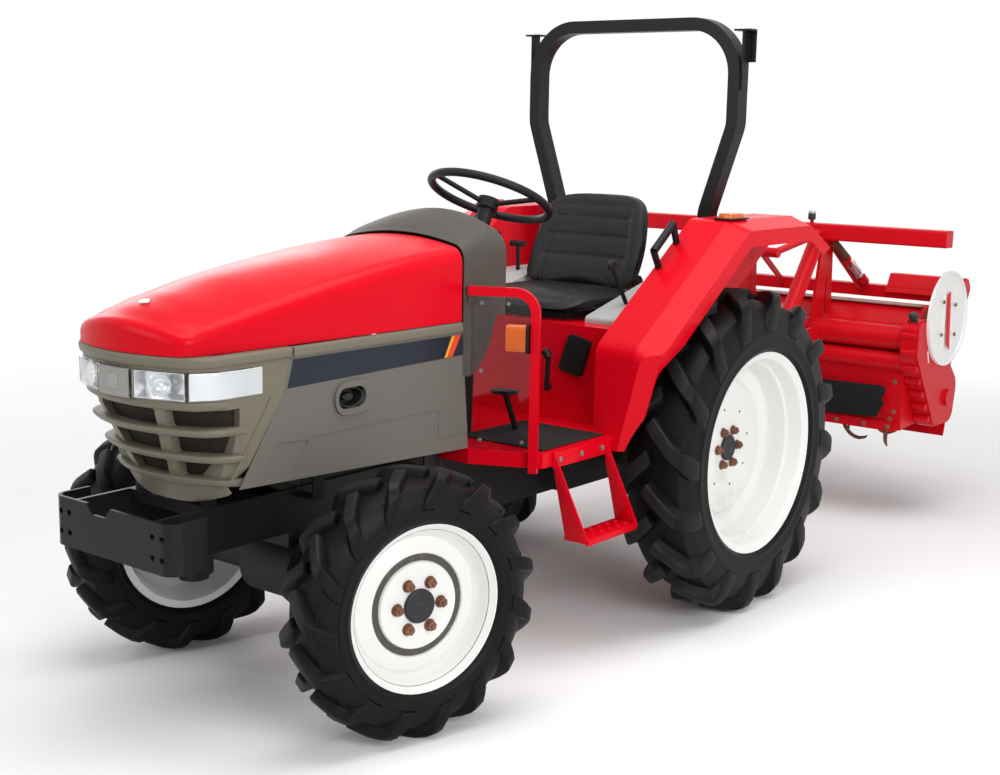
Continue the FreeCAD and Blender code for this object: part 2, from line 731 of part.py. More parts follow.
panel_brackets = [
    box("PanelArm%d" % x, x, x + 40, s.rail_y - 5, s.panel_half - s.sheet, s.rail_high - 18, s.rail_high - 12)
    for x in (1130, 1560)
] + [
    box("PanelTab%d" % x, x, x + 40, s.panel_half - s.sheet - 6, s.panel_half - s.sheet, s.rail_high - 18, s.panel_low_front + 40)
    for x in (1130, 1560)
]
frame_side = fuse("FrameSide", [rail, grille_foot] + panel_brackets)
sub_part("front_frame", fuse("FrontFrame", [frame_side, mirrored("FrameSideTwin", frame_side), frame_cross, frame_front]))

bumper_shell = cut("BumperShell", plate("BumperPlan", "XY", [
    (s.bumper_x - s.bumper_back, -s.bumper_half),
    (s.bumper_x, -s.bumper_half, 38),
    (s.bumper_x, s.bumper_half, 38),
    (s.bumper_x - s.bumper_back, s.bumper_half),
], s.bumper_low, s.bumper_high - s.bumper_low), [plate("BumperInside", "XY", [
    (s.bumper_x - s.bumper_back - 1, s.bumper_plate - s.bumper_half),
    (s.bumper_x - s.bumper_plate, s.bumper_plate - s.bumper_half, 38 - s.bumper_plate),
    (s.bumper_x - s.bumper_plate, s.bumper_half - s.bumper_plate, 38 - s.bumper_plate),
    (s.bumper_x - s.bumper_back - 1, s.bumper_half - s.bumper_plate),
], s.bumper_low - 1, s.bumper_high - s.bumper_low + 2)])
bumper_holes = [
    bar("BumperHole%d%d" % (i, k), (s.bumper_x - 30, y, z), (s.bumper_x + 5, y, z), s.bumper_hole)
    for i, y in enumerate((-200, -165, 165, 200))
    for k, z in enumerate((s.bumper_low + 38, s.bumper_high - 38))
]
bumper_notch = plate("BumperNotch", "YZ", [
    (-95, s.bumper_high + 2),
    (-70, s.bumper_high - 26, 8),
    (-20, s.bumper_high - 26, 8),
    (5, s.bumper_high + 2),
], s.bumper_x - 20, 40)
sub_part("front_bracket", cut("FrontBracket", bumper_shell, bumper_holes + [bumper_notch]))

axle_reach = s.front_pin_y - s.pin_case_radius - 5
horn = fuse("AxleHorn", [
    box("HornUpright", s.wheelbase - 30, s.wheelbase + 30, axle_reach - 45, axle_reach, s.axle_z, s.axle_z + 163),
    box("HornArm", s.wheelbase - 30, s.wheelbase + 30, axle_reach - 45, s.front_pin_y, s.axle_z + 133, s.axle_z + 163),
    bar("HornEye", (s.wheelbase, s.front_pin_y, s.axle_z + 133), (s.wheelbase, s.front_pin_y, s.axle_z + 163), 38),
])
horn_bore = bar("HornBore", (s.wheelbase, s.front_pin_y, s.axle_z + 130), (s.wheelbase, s.front_pin_y, s.axle_z + 170),
                s.trunnion_radius + s.pin_fit)
front_axle = fuse("FrontAxle", [
    both_sides("AxleHorns", cut("AxleHornBored", horn, [horn_bore])),
    bar("AxleBeam", (s.wheelbase, -axle_reach, s.axle_z), (s.wheelbase, axle_reach, s.axle_z), s.axle_beam_radius),
    bar("AxleGear", (s.wheelbase, -95, s.axle_z), (s.wheelbase, 95, s.axle_z), 92),
    box("AxlePivot", s.wheelbase - 60, s.wheelbase + 60, -70, 70, s.axle_z, s.rail_low),
])
sub_part("front_axle", front_axle)

# clutch housing, gear case and rear axle in one casting
gear_case = fuse("GearCase", [
    box("ClutchHouse", s.rail_rear - 30, 1120, -140, 140, 430, s.floor_z - s.skirt),
    box("BellHouse", s.floor_front + 6, 1120, -135, 135, 500, 860),
    box("MidCase", 380, s.rail_rear - 30, -105, 105, 380, s.floor_z - s.skirt),
    box("RearCase", -260, 380, -145, 145, 380, 760),
    bar("AxleHouse", (0, -400, s.rear_tip_radius), (0, 400, s.rear_tip_radius), 75),
    bar("AxleFlange", (0, -255, s.rear_tip_radius), (0, 255, s.rear_tip_radius), 118),
    bar("HubLeft", (0, 400, s.rear_tip_radius), (0, s.rear_track - s.rear_disc_in - s.rim_sheet - s.gap, s.rear_tip_radius), 48),
    bar("HubRight", (0, -400, s.rear_tip_radius), (0, s.rear_disc_in + s.rim_sheet + s.gap - s.rear_track, s.rear_tip_radius), 48),
    box("LiftCase", -300, 120, -120, 120, 760, 880),
    bar("DriveStub", (s.stub_x + 75, 0, s.stub_z), (s.stub_x + 8, 0, s.stub_z), 17),
    box("DriveTongue", s.stub_x - 34, s.stub_x + 8, -10, 10, s.stub_z - 14, s.stub_z + 14),
    bar("DrivePin", (s.stub_x - 20, -25, s.stub_z), (s.stub_x - 20, 25, s.stub_z), s.joint_pin),
    box("TopLinkFork", s.top_link_x - 25, -290, -45, -25, s.top_link_z - 45, s.top_link_z + 25),
    box("TopLinkForkTwin", s.top_link_x - 25, -290, 25, 45, s.top_link_z - 45, s.top_link_z + 25),
    bar("TopLinkPin", (s.top_link_x, -52, s.top_link_z), (s.top_link_x, 52, s.top_link_z), 9.9),
    bar("LinkPins", (s.link_x, -s.link_y - 25, s.link_z), (s.link_x, s.link_y + 25, s.link_z), 10.9),
    bar("ArmShaftSeat", (s.arm_x, -150, s.arm_z), (s.arm_x, 150, s.arm_z), 42),
])
sub_part("gear_case", gear_case)

# ---------------------------------------------------------------- bonnet

def bonnet_section(body, x, half, shoulder, crown, base, radius):
    """One cross-section of the bonnet, upright at X: straight sides, round shoulders, bowed top."""
    sketch = new_sketch(body, "YZ", x, "Section")
    outline(sketch, [
        (-half, base),
        (half, base),
        (half, shoulder - radius),
        (half - radius * 0.3, shoulder - radius * 0.3, "bow"),
        (half - radius, shoulder + radius * 0.14),
        (0, crown, "bow"),
        (radius - half, shoulder + radius * 0.14),
        (radius * 0.3 - half, shoulder - radius * 0.3, "bow"),
        (-half, shoulder - radius),
    ])
    return sketch


bonnet_low = s.grille_high + s.gap
BONNET_STATIONS = [
    (s.bonnet_rear, s.hood_half, 1220, 1247, 42),
    (1250, s.hood_half - 3, 1200, 1229, 44),
    (1480, s.hood_half - 8, 1168, 1206, 46),
    (1700, s.hood_half - 16, 1130, 1178, 48),
    (1880, s.nose_half + 8, 1088, 1138, 40),
    (s.nose_x + 2, s.nose_half - 6, 1054, 1084, 20),
]


def arched_solid(name, stations, base, inset):
    """The outer form of the bonnet or the cowl, or its hollow when inset."""
    body = doc.addObject("PartDesign::Body", name)
    sections = []
    for x, half, shoulder, crown, radius in stations:
        low = base - (inset and 1)
        sections.append(bonnet_section(body, x, half - inset, shoulder - inset, crown - inset, low, radius))
    loft = body.newObject("PartDesign::AdditiveLoft", "Loft")
    loft.Profile = sections[0]
    loft.Sections = sections[1:]
    loft.Ruled = True
    return body


def nose_plan(name, inset, low, high):
    """The plan form of the nose: straight sides and a bowed front."""
    return plate(name, "XY", [
        (s.bonnet_rear - 10, s.hood_half + 20 - inset),
        (s.bonnet_rear - 10, -s.hood_half - 20 + inset),
        (s.nose_corner_x - 90, -s.hood_half - 20 + inset),
        (s.nose_corner_x - inset, -s.nose_half + inset),
        (s.nose_x - inset, 0, "bow"),
        (s.nose_corner_x - inset, s.nose_half - inset),
        (s.nose_corner_x - 90, s.hood_half + 20 - inset),
    ], low, high)


bonnet_outer = common("BonnetOuter", arched_solid("BonnetForm", BONNET_STATIONS, bonnet_low, 0), nose_plan("NoseForm", 0, bonnet_low - 5, 300))
bonnet_inner = common("BonnetInner", arched_solid("BonnetHollow", BONNET_STATIONS, bonnet_low, s.bonnet_sheet),
                      nose_plan("NoseHollow", s.bonnet_sheet, bonnet_low - 5, 300))
sub_part("bonnet", cut("Bonnet", bonnet_outer, [bonnet_inner]))

# ---------------------------------------------------------------- grille and side panels

def grille_plan(body, z, nose, half, inset):
    """The grille's plan form at one height: straight sides, cut corners and a bowed front."""
    sketch = new_sketch(body, "XY", z, "Plan")
    outline(sketch, [
        (s.split_high_x - 20, half - inset),
        (s.split_high_x - 20, inset - half),
        (nose - 120, inset - half),
        (nose - 55 - inset, inset - half + 36),
        (nose - inset, 0, "bow"),
        (nose - 55 - inset, half - inset - 36),
        (nose - 120, half - inset),
    ])
    return sketch


grille_knee = s.lamp_low - 40
grille_hip = s.grille_side_low + 60


def nose_at(z):
    """The grille's front on the middle plane at a height under the lamps."""
    return s.grille_low_x + (s.nose_x - 28 - s.grille_low_x) * ((z - s.grille_low) / (grille_knee - s.grille_low))


def half_at(z):
    """The grille's half width at a height under the lamps."""
    if number(z) < number(grille_hip):
        return s.panel_half - 22 + 16 * ((z - s.grille_low) / (grille_hip - s.grille_low))
    return s.panel_half - 6 + 6 * ((z - grille_hip) / (grille_knee - grille_hip))


def grille_loft(name, stations):
    """A form through the grille's plan at several heights: (height, front, half width, inset)."""
    body = doc.addObject("PartDesign::Body", name)
    sections = [grille_plan(body, *station) for station in stations]
    loft = body.newObject("PartDesign::AdditiveLoft", "Loft")
    loft.Profile = sections[0]
    loft.Sections = sections[1:]
    loft.Ruled = True
    return body


def grille_form(name, inset):
    return grille_loft(name, [
        (s.grille_low + (inset and -1), s.grille_low_x, s.panel_half - 22, inset),
        (grille_hip, nose_at(grille_hip), s.panel_half - 6, inset),
        (grille_knee, s.nose_x - 28, s.panel_half, inset),
        (s.grille_high + (inset and 1), s.nose_x, s.panel_half, inset),
    ])


def grille_lip(name, z):
    """One bar of the grille, wrapped round its front with a rounded edge."""
    return grille_loft(name, [
        (height, nose_at(height), half_at(height), out)
        for height, out in (
            (z - s.lip_high / 2, 5),
            (z - s.lip_high / 5, -s.lip_out),
            (z + s.lip_high / 5, -s.lip_out),
            (z + s.lip_high / 2, 5),
        )
    ])


split = plate("Split", "XZ", [
    (s.split_high_x - 60, s.grille_high + 5),
    (s.split_high_x, s.grille_high + 5),
    (s.split_mid_x, s.split_mid_z),
    (s.split_low_x, s.panel_low_front),
    (s.split_low_x - 15, s.grille_side_low),
    (s.grille_low_x - 10, s.grille_low),
    (s.grille_low_x - 10, s.grille_low - 5),
    (s.split_high_x - 60, s.grille_low - 5),
], -400, 800)

# each opening: (bottom, top, outer side's X, the two ribs' edges at the bottom and at the top)
GRILLE_ROWS = [
    (697, 741, 1872, (60, 92), (74, 105)),
    (763, 811, 1858, (70, 104), (85, 117)),
    (833, 879, 1848, (95, 119), (104, 131)),
]
grille_holes = []
for row, (low, high, side_x, at_low, at_high) in enumerate(GRILLE_ROWS):
    grille_holes.append(plate("GrilleMiddle%d" % row, "YZ", [
        (-at_low[0], low, 6),
        (at_low[0], low, 6),
        (at_high[0], high, 6),
        (-at_high[0], high, 6),
    ], s.split_low_x + 40, 220))
    outer = plate("GrilleOuter%d" % row, "YZ", [
        (at_low[1], low, 6),
        (s.panel_half + 30, low, 6),
        (s.panel_half + 30, high, 6),
        (at_high[1], high, 6),
    ], side_x, 220)
    grille_holes += [outer, mirrored("GrilleOuterTwin%d" % row, outer)]
lips = [grille_lip("GrilleLip%d" % i, z) for i, z in enumerate((687, 752, 822))]
lip_zone = box("LipZone", s.split_low_x - 20, s.nose_x + 40, -s.panel_half - 20, s.panel_half + 20, s.grille_low, s.lamp_low - 20)
grille_lips = common("GrilleLips", fuse("GrilleLipsWhole", lips), lip_zone)
lamp_slots = [
    box("LampSlotLeft", 1805, s.nose_x + 40, 62, 300, s.lamp_low, s.lamp_high),
    box("LampSlotRight", 1805, s.nose_x + 40, -300, -62, s.lamp_low, s.lamp_high),
]
grille_shell = cut("GrilleShell", grille_form("GrilleOuterForm", 0), grille_holes + lamp_slots)
grille_frame = cut("GrilleFrame", fuse("GrilleWithLips", [grille_shell, grille_lips]), [
    grille_form("GrilleInner", s.grille_wall), split,
])
sub_part("grille_frame", grille_frame)

lamp_band = common("LampBand", grille_form("LampForm", 3), fuse("LampZones", [
    box("LampZoneLeft", 1760, s.nose_x + 40, 64, 300, s.lamp_low, s.lamp_high),
    box("LampZoneRight", 1760, s.nose_x + 40, -300, -64, s.lamp_low, s.lamp_high),
]))
lamps = cut("Lamps", lamp_band, [grille_form("LampBack", s.grille_wall), box("LampEnd", 1700, 1807, -300, 300, s.lamp_low - 5, s.lamp_high + 5)])
sub_part("headlamps", lamps)

screen = common("Screen", grille_form("ScreenForm", s.grille_wall + 0.5),
                box("ScreenZone", 1800, 2100, -300, 300, s.grille_side_low + 14, s.lamp_low - 12))
sub_part("grille_screen", cut("GrilleScreen", screen, [grille_form("ScreenBack", s.grille_wall + 5)]))


# side panels: a raised strip at the top, a rimmed oval port, a sunk patch and a step along the lower part
seam = s.gap * 1.2
panel_face = s.panel_half - s.sheet
panel = plate("SidePanel", "XZ", [
    (s.split_high_x + 1 - seam, s.grille_high),
    (s.split_mid_x - seam, s.split_mid_z),
    (s.split_low_x - seam, s.panel_low_front),
    (s.panel_rear_low, s.panel_low_rear),
    (s.panel_rear_high, s.grille_high),
], panel_face, s.sheet)
panel_strip = plate("PanelStrip", "XZ", [
    (s.split_high_x + 1 - seam, s.grille_high),
    (s.split_high_x + 6 - seam, s.grille_high - 32, 6),
    (s.panel_rear_high - 4, s.grille_high - 32, 6),
    (s.panel_rear_high, s.grille_high),
], panel_face + s.sheet, 4)
port_x = 1458
port_z = 855
port_rim = plate("PortRim", "XZ", [
    (port_x - 71, port_z - 45, 43),
    (port_x + 71, port_z - 45, 43),
    (port_x + 71, port_z + 45, 43),
    (port_x - 71, port_z + 45, 43),
], panel_face, s.sheet + 7)
panel_hole = plate("PortHole", "XZ", [
    (port_x - 43, port_z - 28, 27),
    (port_x + 59, port_z - 28, 27),
    (port_x + 59, port_z + 28, 27),
    (port_x - 43, port_z + 28, 27),
], panel_face - 10, 40)
sunk_patch = plate("SunkPatch", "XZ", [
    (1725, 772, 6),
    (1614, 765, 6),
    (1676, 683, 6),
    (1782, 683, 6),
], s.panel_half - 3, 10)
lower_step = plate("LowerStep", "XZ", [
    (1116, 772, 10),
    (1602, 771, 10),
    (1664, 683, 10),
    (1664, 600),
    (900, 600),
    (900, 690),
    (1116, 690),
], s.panel_half - 1.5, 10)
side_panel = cut("SidePanelCut", fuse("SidePanelWhole", [panel, panel_strip, port_rim]),
                 [panel_hole, sunk_patch, lower_step])
sub_part("side_panels", group("SidePanels", [side_panel, mirrored("SidePanelRight", side_panel)]))

# ---------------------------------------------------------------- driver's place

COWL_STATIONS = [
    (s.bonnet_rear - 8, s.hood_half, s.cowl_high - 92, s.cowl_high - 62, 42),
    (s.bonnet_rear - 72, s.hood_half, s.cowl_high - 66, s.cowl_high - 26, 52),
    (s.cowl_rear + 75, s.hood_half - 3, s.cowl_high - 50, s.cowl_high - 3, 66),
    (s.cowl_rear + 25, s.hood_half - 7, s.cowl_high - 52, s.cowl_high - 4, 70),
    (s.cowl_rear, s.hood_half - 16, s.cowl_high - 70, s.cowl_high - 22, 66),
]
cowl_room = common("CowlRoom", arched_solid("CowlHollow", COWL_STATIONS, s.grille_high, s.sheet),
                   box("CowlRoomEnd", s.cowl_rear + s.sheet, s.bonnet_rear, -s.hood_half, s.hood_half,
                       s.grille_high - 1, s.cowl_high + 10))
cowl_shell = cut("CowlShell", arched_solid("CowlForm", COWL_STATIONS, s.grille_high, 0), [cowl_room])
cowl_skirt = plate("CowlSkirt", "XZ", [
    (s.cowl_rear + 60, s.grille_high + 80),
    (s.panel_rear_low - 6, s.grille_high + 80),
    (s.panel_rear_low - 6, 858, 12),
    (s.panel_rear_low - 40, 850, 20),
    (s.cowl_rear + 105, 915, 40),
    (s.cowl_rear + 60, s.grille_high),
], s.hood_half - 4 - s.sheet, s.sheet)
sub_part("cowl", fuse("Cowl", [cowl_shell, cowl_skirt, mirrored("CowlSkirtRight", cowl_skirt)]))

dash_post = plate("DashPost", "XZ", [
    (820, s.floor_z),
    (s.panel_rear_low - 4, s.floor_z),
    (s.panel_rear_low - 4, s.grille_high - 0.3),
    (s.cowl_rear + 2, s.grille_high - 0.3),
], -120, 240)

column_low = (s.wheel_x + 515 * sine(s.column_tilt), 0, s.wheel_z - 515 * cosine(s.column_tilt))
column_top = (s.wheel_x + 42 * sine(s.column_tilt), 0, s.wheel_z - 42 * cosine(s.column_tilt))
sub_part("steering_post", fuse("SteeringPost", [dash_post, bar("Column", column_low, column_top, 24)]))

wheel_axis = (-sine(s.column_tilt), 0, cosine(s.column_tilt))
wheel_rim = ring("WheelRim", (0, 0, 0), (0, 0, 1), s.wheel_radius, s.wheel_grip)
wheel_hub = bar("WheelHub", (0, 0, -41), (0, 0, -8), 34)
spokes = [
    bar("Spoke%d" % i, (24 * cosine(a), 24 * sine(a), -24), (s.wheel_radius * cosine(a), s.wheel_radius * sine(a), 0), 8)
    for i, a in enumerate((90, 210, 330))
]
steering_wheel = copy_of("SteeringWheel", fuse("SteeringWheelFlat", [wheel_rim, wheel_hub] + spokes),
                         (s.wheel_x, 0, s.wheel_z), (0, 1, 0), -s.column_tilt)
sub_part("steering_wheel", steering_wheel)

floor_plan = [
    (s.deck_front + s.gap, -s.fender_inner),
    (s.fender_front + s.gap, -s.fender_inner),
    (s.fender_front + s.gap, -s.floor_half),
    (s.floor_front - s.corner_run, -s.floor_half),
    (s.floor_front, -s.corner_y),
    (s.floor_front, s.corner_y),
    (s.floor_front - s.corner_run, s.floor_half),
    (s.fender_front + s.gap, s.floor_half),
    (s.fender_front + s.gap, s.fender_inner),
    (s.deck_front + s.gap, s.fender_inner),
]
floor_plate = plate("FloorPlate", "XY", floor_plan, s.floor_z - s.sheet, s.sheet)
floor_edge = cut("FloorEdge", plate("FloorEdgeOuter", "XY", floor_plan, s.floor_z - s.skirt, s.skirt),
                 [box("FloorEdgeInside", s.deck_front - 5, s.floor_front - 95, s.sheet - s.floor_half, s.floor_half - s.sheet,
                      s.floor_z - s.skirt - 1, s.floor_z + 1)])
floor_bearers = [
    box("FloorBearerFront", 760, 800, -s.floor_half, s.floor_half, s.floor_z - 40, s.floor_z),
    box("FloorBearerRear", s.fender_front + 6, s.fender_front + 46, -s.floor_half, s.floor_half, s.floor_z - 40, s.floor_z),
]
sub_part("floor", fuse("Floor", [floor_plate, floor_edge] + floor_bearers))
mat = [
    box("MatLeft", s.fender_front + 20, s.floor_front - 115, 122, s.floor_half - 12, s.floor_z, s.floor_z + s.mat_thick),
    box("MatRight", s.fender_front + 20, s.floor_front - 115, 12 - s.floor_half, -122, s.floor_z, s.floor_z + s.mat_thick),
]
sub_part("floor_mat", group("FloorMat", mat))

step_plate = box("StepPlate", 581, 852, s.floor_half + 0, s.floor_half + 8, s.step_z - 4, s.floor_z - 4)
step_hole = plate("StepHole", "XZ", [
    (600, s.floor_z - s.skirt - 8),
    (833, s.floor_z - s.skirt - 8),
    (775, s.step_z + 18),
    (562, s.step_z + 18),
], s.floor_half - 5, 20)
step_side = plate("StepSide", "XZ", [
    (560, s.step_z),
    (581, s.floor_z - s.skirt),
    (581, s.floor_z - 6),
    (852, s.floor_z - 6),
    (852, s.floor_z - s.skirt),
    (799, s.step_z),
], s.floor_half, 8)
tread = box("Tread", 540, 799, s.floor_half, s.floor_half + 95, s.step_z - 4, s.step_z + 4)
step = cut("Step", fuse("StepSolid", [step_side, tread]), [step_hole])
sub_part("steps", group("Steps", [step, mirrored("StepRight", step)]))

# guard bars across the floor's cut corners, each with a clear sheet and a lamp, drawn flat and then turned
corner_turn = math.degrees(math.atan2(number(s.floor_half - s.corner_y), -number(s.corner_run)))
corner_end = root(s.corner_run * s.corner_run + (s.floor_half - s.corner_y) * (s.floor_half - s.corner_y))
post_u = corner_end - 27


def on_corner(name, piece):
    """Sets a piece drawn in the XZ plane along the left cut corner of the floor, and its twin on the right."""
    left = copy_of(name, piece, (s.floor_front, s.corner_y, 0), (0, 0, 1), corner_turn)
    return [left, mirrored(name + "Right", left)]


guard_bar = sweep("GuardBar", "XZ", [
    (-3, s.guard_high - s.guard_wide / 2),
    (post_u, s.guard_high - s.guard_wide / 2, 60),
    (post_u, s.floor_z - s.skirt - 12),
], "YZ", -3, [
    (-s.guard_thick - s.gap, s.guard_high - s.guard_wide),
    (-s.gap, s.guard_high - s.guard_wide),
    (-s.gap, s.guard_high),
    (-s.guard_thick - s.gap, s.guard_high),
])
guard_path_y = -s.gap - s.guard_thick / 2
sub_part("guard_hoops", group("GuardHoops", on_corner("GuardLeft", guard_bar)))

pane = plate("Pane", "XZ", [
    (12, s.floor_z + s.gap),
    (post_u, s.floor_z + s.gap),
    (post_u, s.guard_high - s.guard_wide / 2, 60),
    (12, s.guard_high - s.guard_wide / 2),
], 0, 4)
sub_part("guard_panes", group("GuardPanes", on_corner("PaneLeft", pane)))

post_lamp = box("PostLamp", post_u - s.guard_wide / 2 - 70, post_u - s.guard_wide / 2, -s.guard_thick - 22, -s.gap - 1, 932, 1014)
fender_lamp = box("FenderLamp", -70, 20, 475, 525, s.fender_high, s.fender_high + 20)
sub_part("amber_lamps", group("AmberLamps", on_corner("PostLampLeft", post_lamp) + [
    fender_lamp,
    mirrored("FenderLampRight", fender_lamp),
]))

deck_outer = box("DeckOuter", -330, s.deck_front, -s.fender_inner, s.fender_inner, s.floor_z, s.deck_z)
deck_hollow = box("DeckHollow", -331, s.deck_front - s.sheet, s.sheet - s.fender_inner, s.fender_inner - s.sheet, s.floor_z - 1, s.deck_z - s.sheet)
sub_part("seat_deck", cut("SeatDeck", deck_outer, [deck_hollow]))


def fender_form(name, inset, low):
    """The fender's whole form, or its hollow when inset: flat over the wheel, sloping to its outer edge."""
    body = doc.addObject("PartDesign::Body", name)
    sections = []
    for y, drop in (
        (s.fender_inner + inset, inset),
        (s.ridge_y, inset),
        (s.fender_outer - inset, s.ridge_drop + inset),
    ):
        sketch = new_sketch(body, "XZ", -y, "Section")
        outline(sketch, [
            (s.fender_front - inset, low),
            (s.fender_front - inset, s.leg_high - drop * 1.23, 60 - inset / 2),
            (30 - drop * 0.33, s.fender_high - drop, 60 - inset / 2),
            (drop * 0.2 - 400, s.fender_high - drop, 60 - inset / 2),
            (s.fender_rear + inset * 2 - (inset and 60), 1190 - drop),
            (s.fender_rear + 60 - (inset and 60), 1150 - drop / 2),
            (-250, 990 - (inset and 400)),
            (250, 990 - (inset and 400)),
            (s.fender_front - 120, 760 - (inset and 200)),
            (s.fender_front - 70, low - (inset and 1)),
        ])
        sections.append(sketch)
    loft = body.newObject("PartDesign::AdditiveLoft", "Loft")
    loft.Profile = sections[0]
    loft.Sections = sections[1:]
    loft.Ruled = True
    return body


def leg_edge(name, inset):
    """What the fender's front leg lacks at its outer side, where it narrows to its foot."""
    body = doc.addObject("PartDesign::Body", name)
    sections = []
    for z, ridge, outer in (
        (s.fender_low - 25, s.leg_ridge_low - 6, s.leg_outer_low - 8),
        (s.leg_high + 20, s.leg_ridge_high, s.fender_outer + 3),
    ):
        sketch = new_sketch(body, "XY", z, "Section")
        outline(sketch, [
            (s.fender_front + 2 - inset, ridge - inset),
            (s.fender_front + 2 - inset, s.fender_outer + 80),
            (s.fender_front - 200, s.fender_outer + 80),
            (s.fender_front - 200, outer - inset),
            (s.fender_front - 40 - inset, outer - inset),
        ])
        sections.append(sketch)
    loft = body.newObject("PartDesign::AdditiveLoft", "Loft")
    loft.Profile = sections[0]
    loft.Sections = sections[1:]
    loft.Ruled = True
    return body


fender_solid = cut("FenderSolid", fender_form("FenderForm", 0, s.fender_low), [leg_edge("LegEdge", 0)])
fender_hollow = cut("FenderHollow", fender_form("FenderRoom", s.sheet, s.fender_low - 20), [leg_edge("LegEdgeRoom", s.sheet)])
fender_open = plate("FenderOpen", "XZ", [
    (s.fender_front - 46, s.fender_low - 20),
    (s.fender_front - 46, s.leg_high - s.valance * 1.3, 50),
    (30 - s.valance / 2, s.fender_high - s.ridge_drop - s.valance, 50),
    (-400, s.fender_high - s.ridge_drop - s.valance, 50),
    (s.fender_rear - 40, 1090),
    (s.fender_rear - 40, s.fender_low - 20),
], s.ridge_y - 80, s.fender_outer - s.ridge_y + 90)
wheel_room = bar(
    "WheelRoom",
    (0, s.rear_track - s.rear_tyre_width / 2 - 8, s.rear_tip_radius),
    (0, s.fender_outer + 10, s.rear_tip_radius),
    s.rear_tip_radius + 8,
)
fender = cut("Fender", fender_solid, [fender_hollow, fender_open, wheel_room])
sub_part("fenders", group("Fenders", [fender, mirrored("FenderRight", fender)]))

def seat_cut(name, profile, front_view):
    """A seat cushion's form: its side profile, rounded off as seen from the front or from above."""
    return common(name, plate(name + "Profile", "XZ", profile, -240, 480), front_view)


seat_back = seat_cut("SeatBack", [
    (28, s.deck_z + 70, 20),
    (150, s.deck_z + 70, 30),
    (92, s.deck_z + 170, 60),
    (34, s.deck_z + 385, 24),
    (-56, s.deck_z + 390, 24),
    (0, s.deck_z + 150, 60),
], plate("SeatBackView", "YZ", [
    (-222, s.deck_z + 40, 20),
    (222, s.deck_z + 40, 20),
    (206, s.deck_z + 390, 95),
    (-206, s.deck_z + 390, 95),
], -100, 300))
seat_cushion = seat_cut("SeatCushion", [
    (30, s.deck_z + 20, 25),
    (412, s.deck_z + 20, 25),
    (450, s.deck_z + 58, 30),
    (432, s.deck_z + 98, 30),
    (270, s.deck_z + 92, 60),
    (110, s.deck_z + 76, 30),
    (40, s.deck_z + 96, 20),
], plate("SeatCushionView", "XY", [
    (20, -205, 30),
    (455, -228, 90),
    (455, 228, 90),
    (20, 205, 30),
], s.deck_z, 200))
seat_wing = seat_cut("SeatWing", [
    (10, s.deck_z + 60, 15),
    (380, s.deck_z + 70, 40),
    (330, s.deck_z + 112, 40),
    (140, s.deck_z + 130, 60),
    (62, s.deck_z + 330, 40),
    (0, s.deck_z + 330, 20),
], plate("SeatWingView", "YZ", [
    (150, s.deck_z + 40),
    (219, s.deck_z + 40),
    (210, s.deck_z + 340, 20),
    (176, s.deck_z + 340, 20),
    (176, s.deck_z + 128, 30),
], -100, 600))
sub_part("driver_seat", fuse("DriverSeat", [seat_back, seat_cushion, both_sides("SeatWings", seat_wing)]))
sub_part("seat_base", box("SeatBase", 60, 380, -150, 150, s.deck_z, s.deck_z + 19.7))

bar_leg = sweep("RollBar", "YZ", [
    (s.bar_foot - s.bar_wide / 2, s.deck_z),
    (s.bar_foot - s.bar_wide / 2, s.bar_top - s.bar_bend_low, 120),
    (s.bar_half - s.bar_wide / 2, s.bar_top - s.bar_bend_high, 120),
    (s.bar_half - s.bar_wide / 2, s.bar_top - s.bar_wide / 2, s.bar_corner - s.bar_wide / 2),
    (s.bar_wide / 2 - s.bar_half, s.bar_top - s.bar_wide / 2, s.bar_corner - s.bar_wide / 2),
    (s.bar_wide / 2 - s.bar_half, s.bar_top - s.bar_bend_high, 120),
    (s.bar_wide / 2 - s.bar_foot, s.bar_top - s.bar_bend_low, 120),
    (s.bar_wide / 2 - s.bar_foot, s.deck_z),
], "XY", s.deck_z, [
    (-s.bar_deep / 2, s.bar_foot - s.bar_wide),
    (s.bar_deep / 2, s.bar_foot - s.bar_wide),
    (s.bar_deep / 2, s.bar_foot),
    (-s.bar_deep / 2, s.bar_foot),
])
bracket_low = s.bar_top - 237
bracket_top = s.bar_top - 47
lamp_bracket = fuse("LampBracket", [
    box("BracketPlate", s.bar_x - 20, s.bar_x + 20, s.bar_half, s.bar_half + 6, bracket_low, bracket_top),
    box("BracketTop", s.bar_x - 24, s.bar_x + 24, s.bar_half - 30, s.bar_half + 30, bracket_top, bracket_top + 6),
    box("BracketFlange", s.bar_x - 24, s.bar_x - 20, s.bar_half, s.bar_half + 30, bracket_low + 90, bracket_top + 6),
])

sub_part("roll_bar", fuse("RollBarWithBrackets", [
    copy_of("RollBarPlaced", bar_leg, (s.bar_x, 0, 0)),
    both_sides("LampBrackets", lamp_bracket),
]))

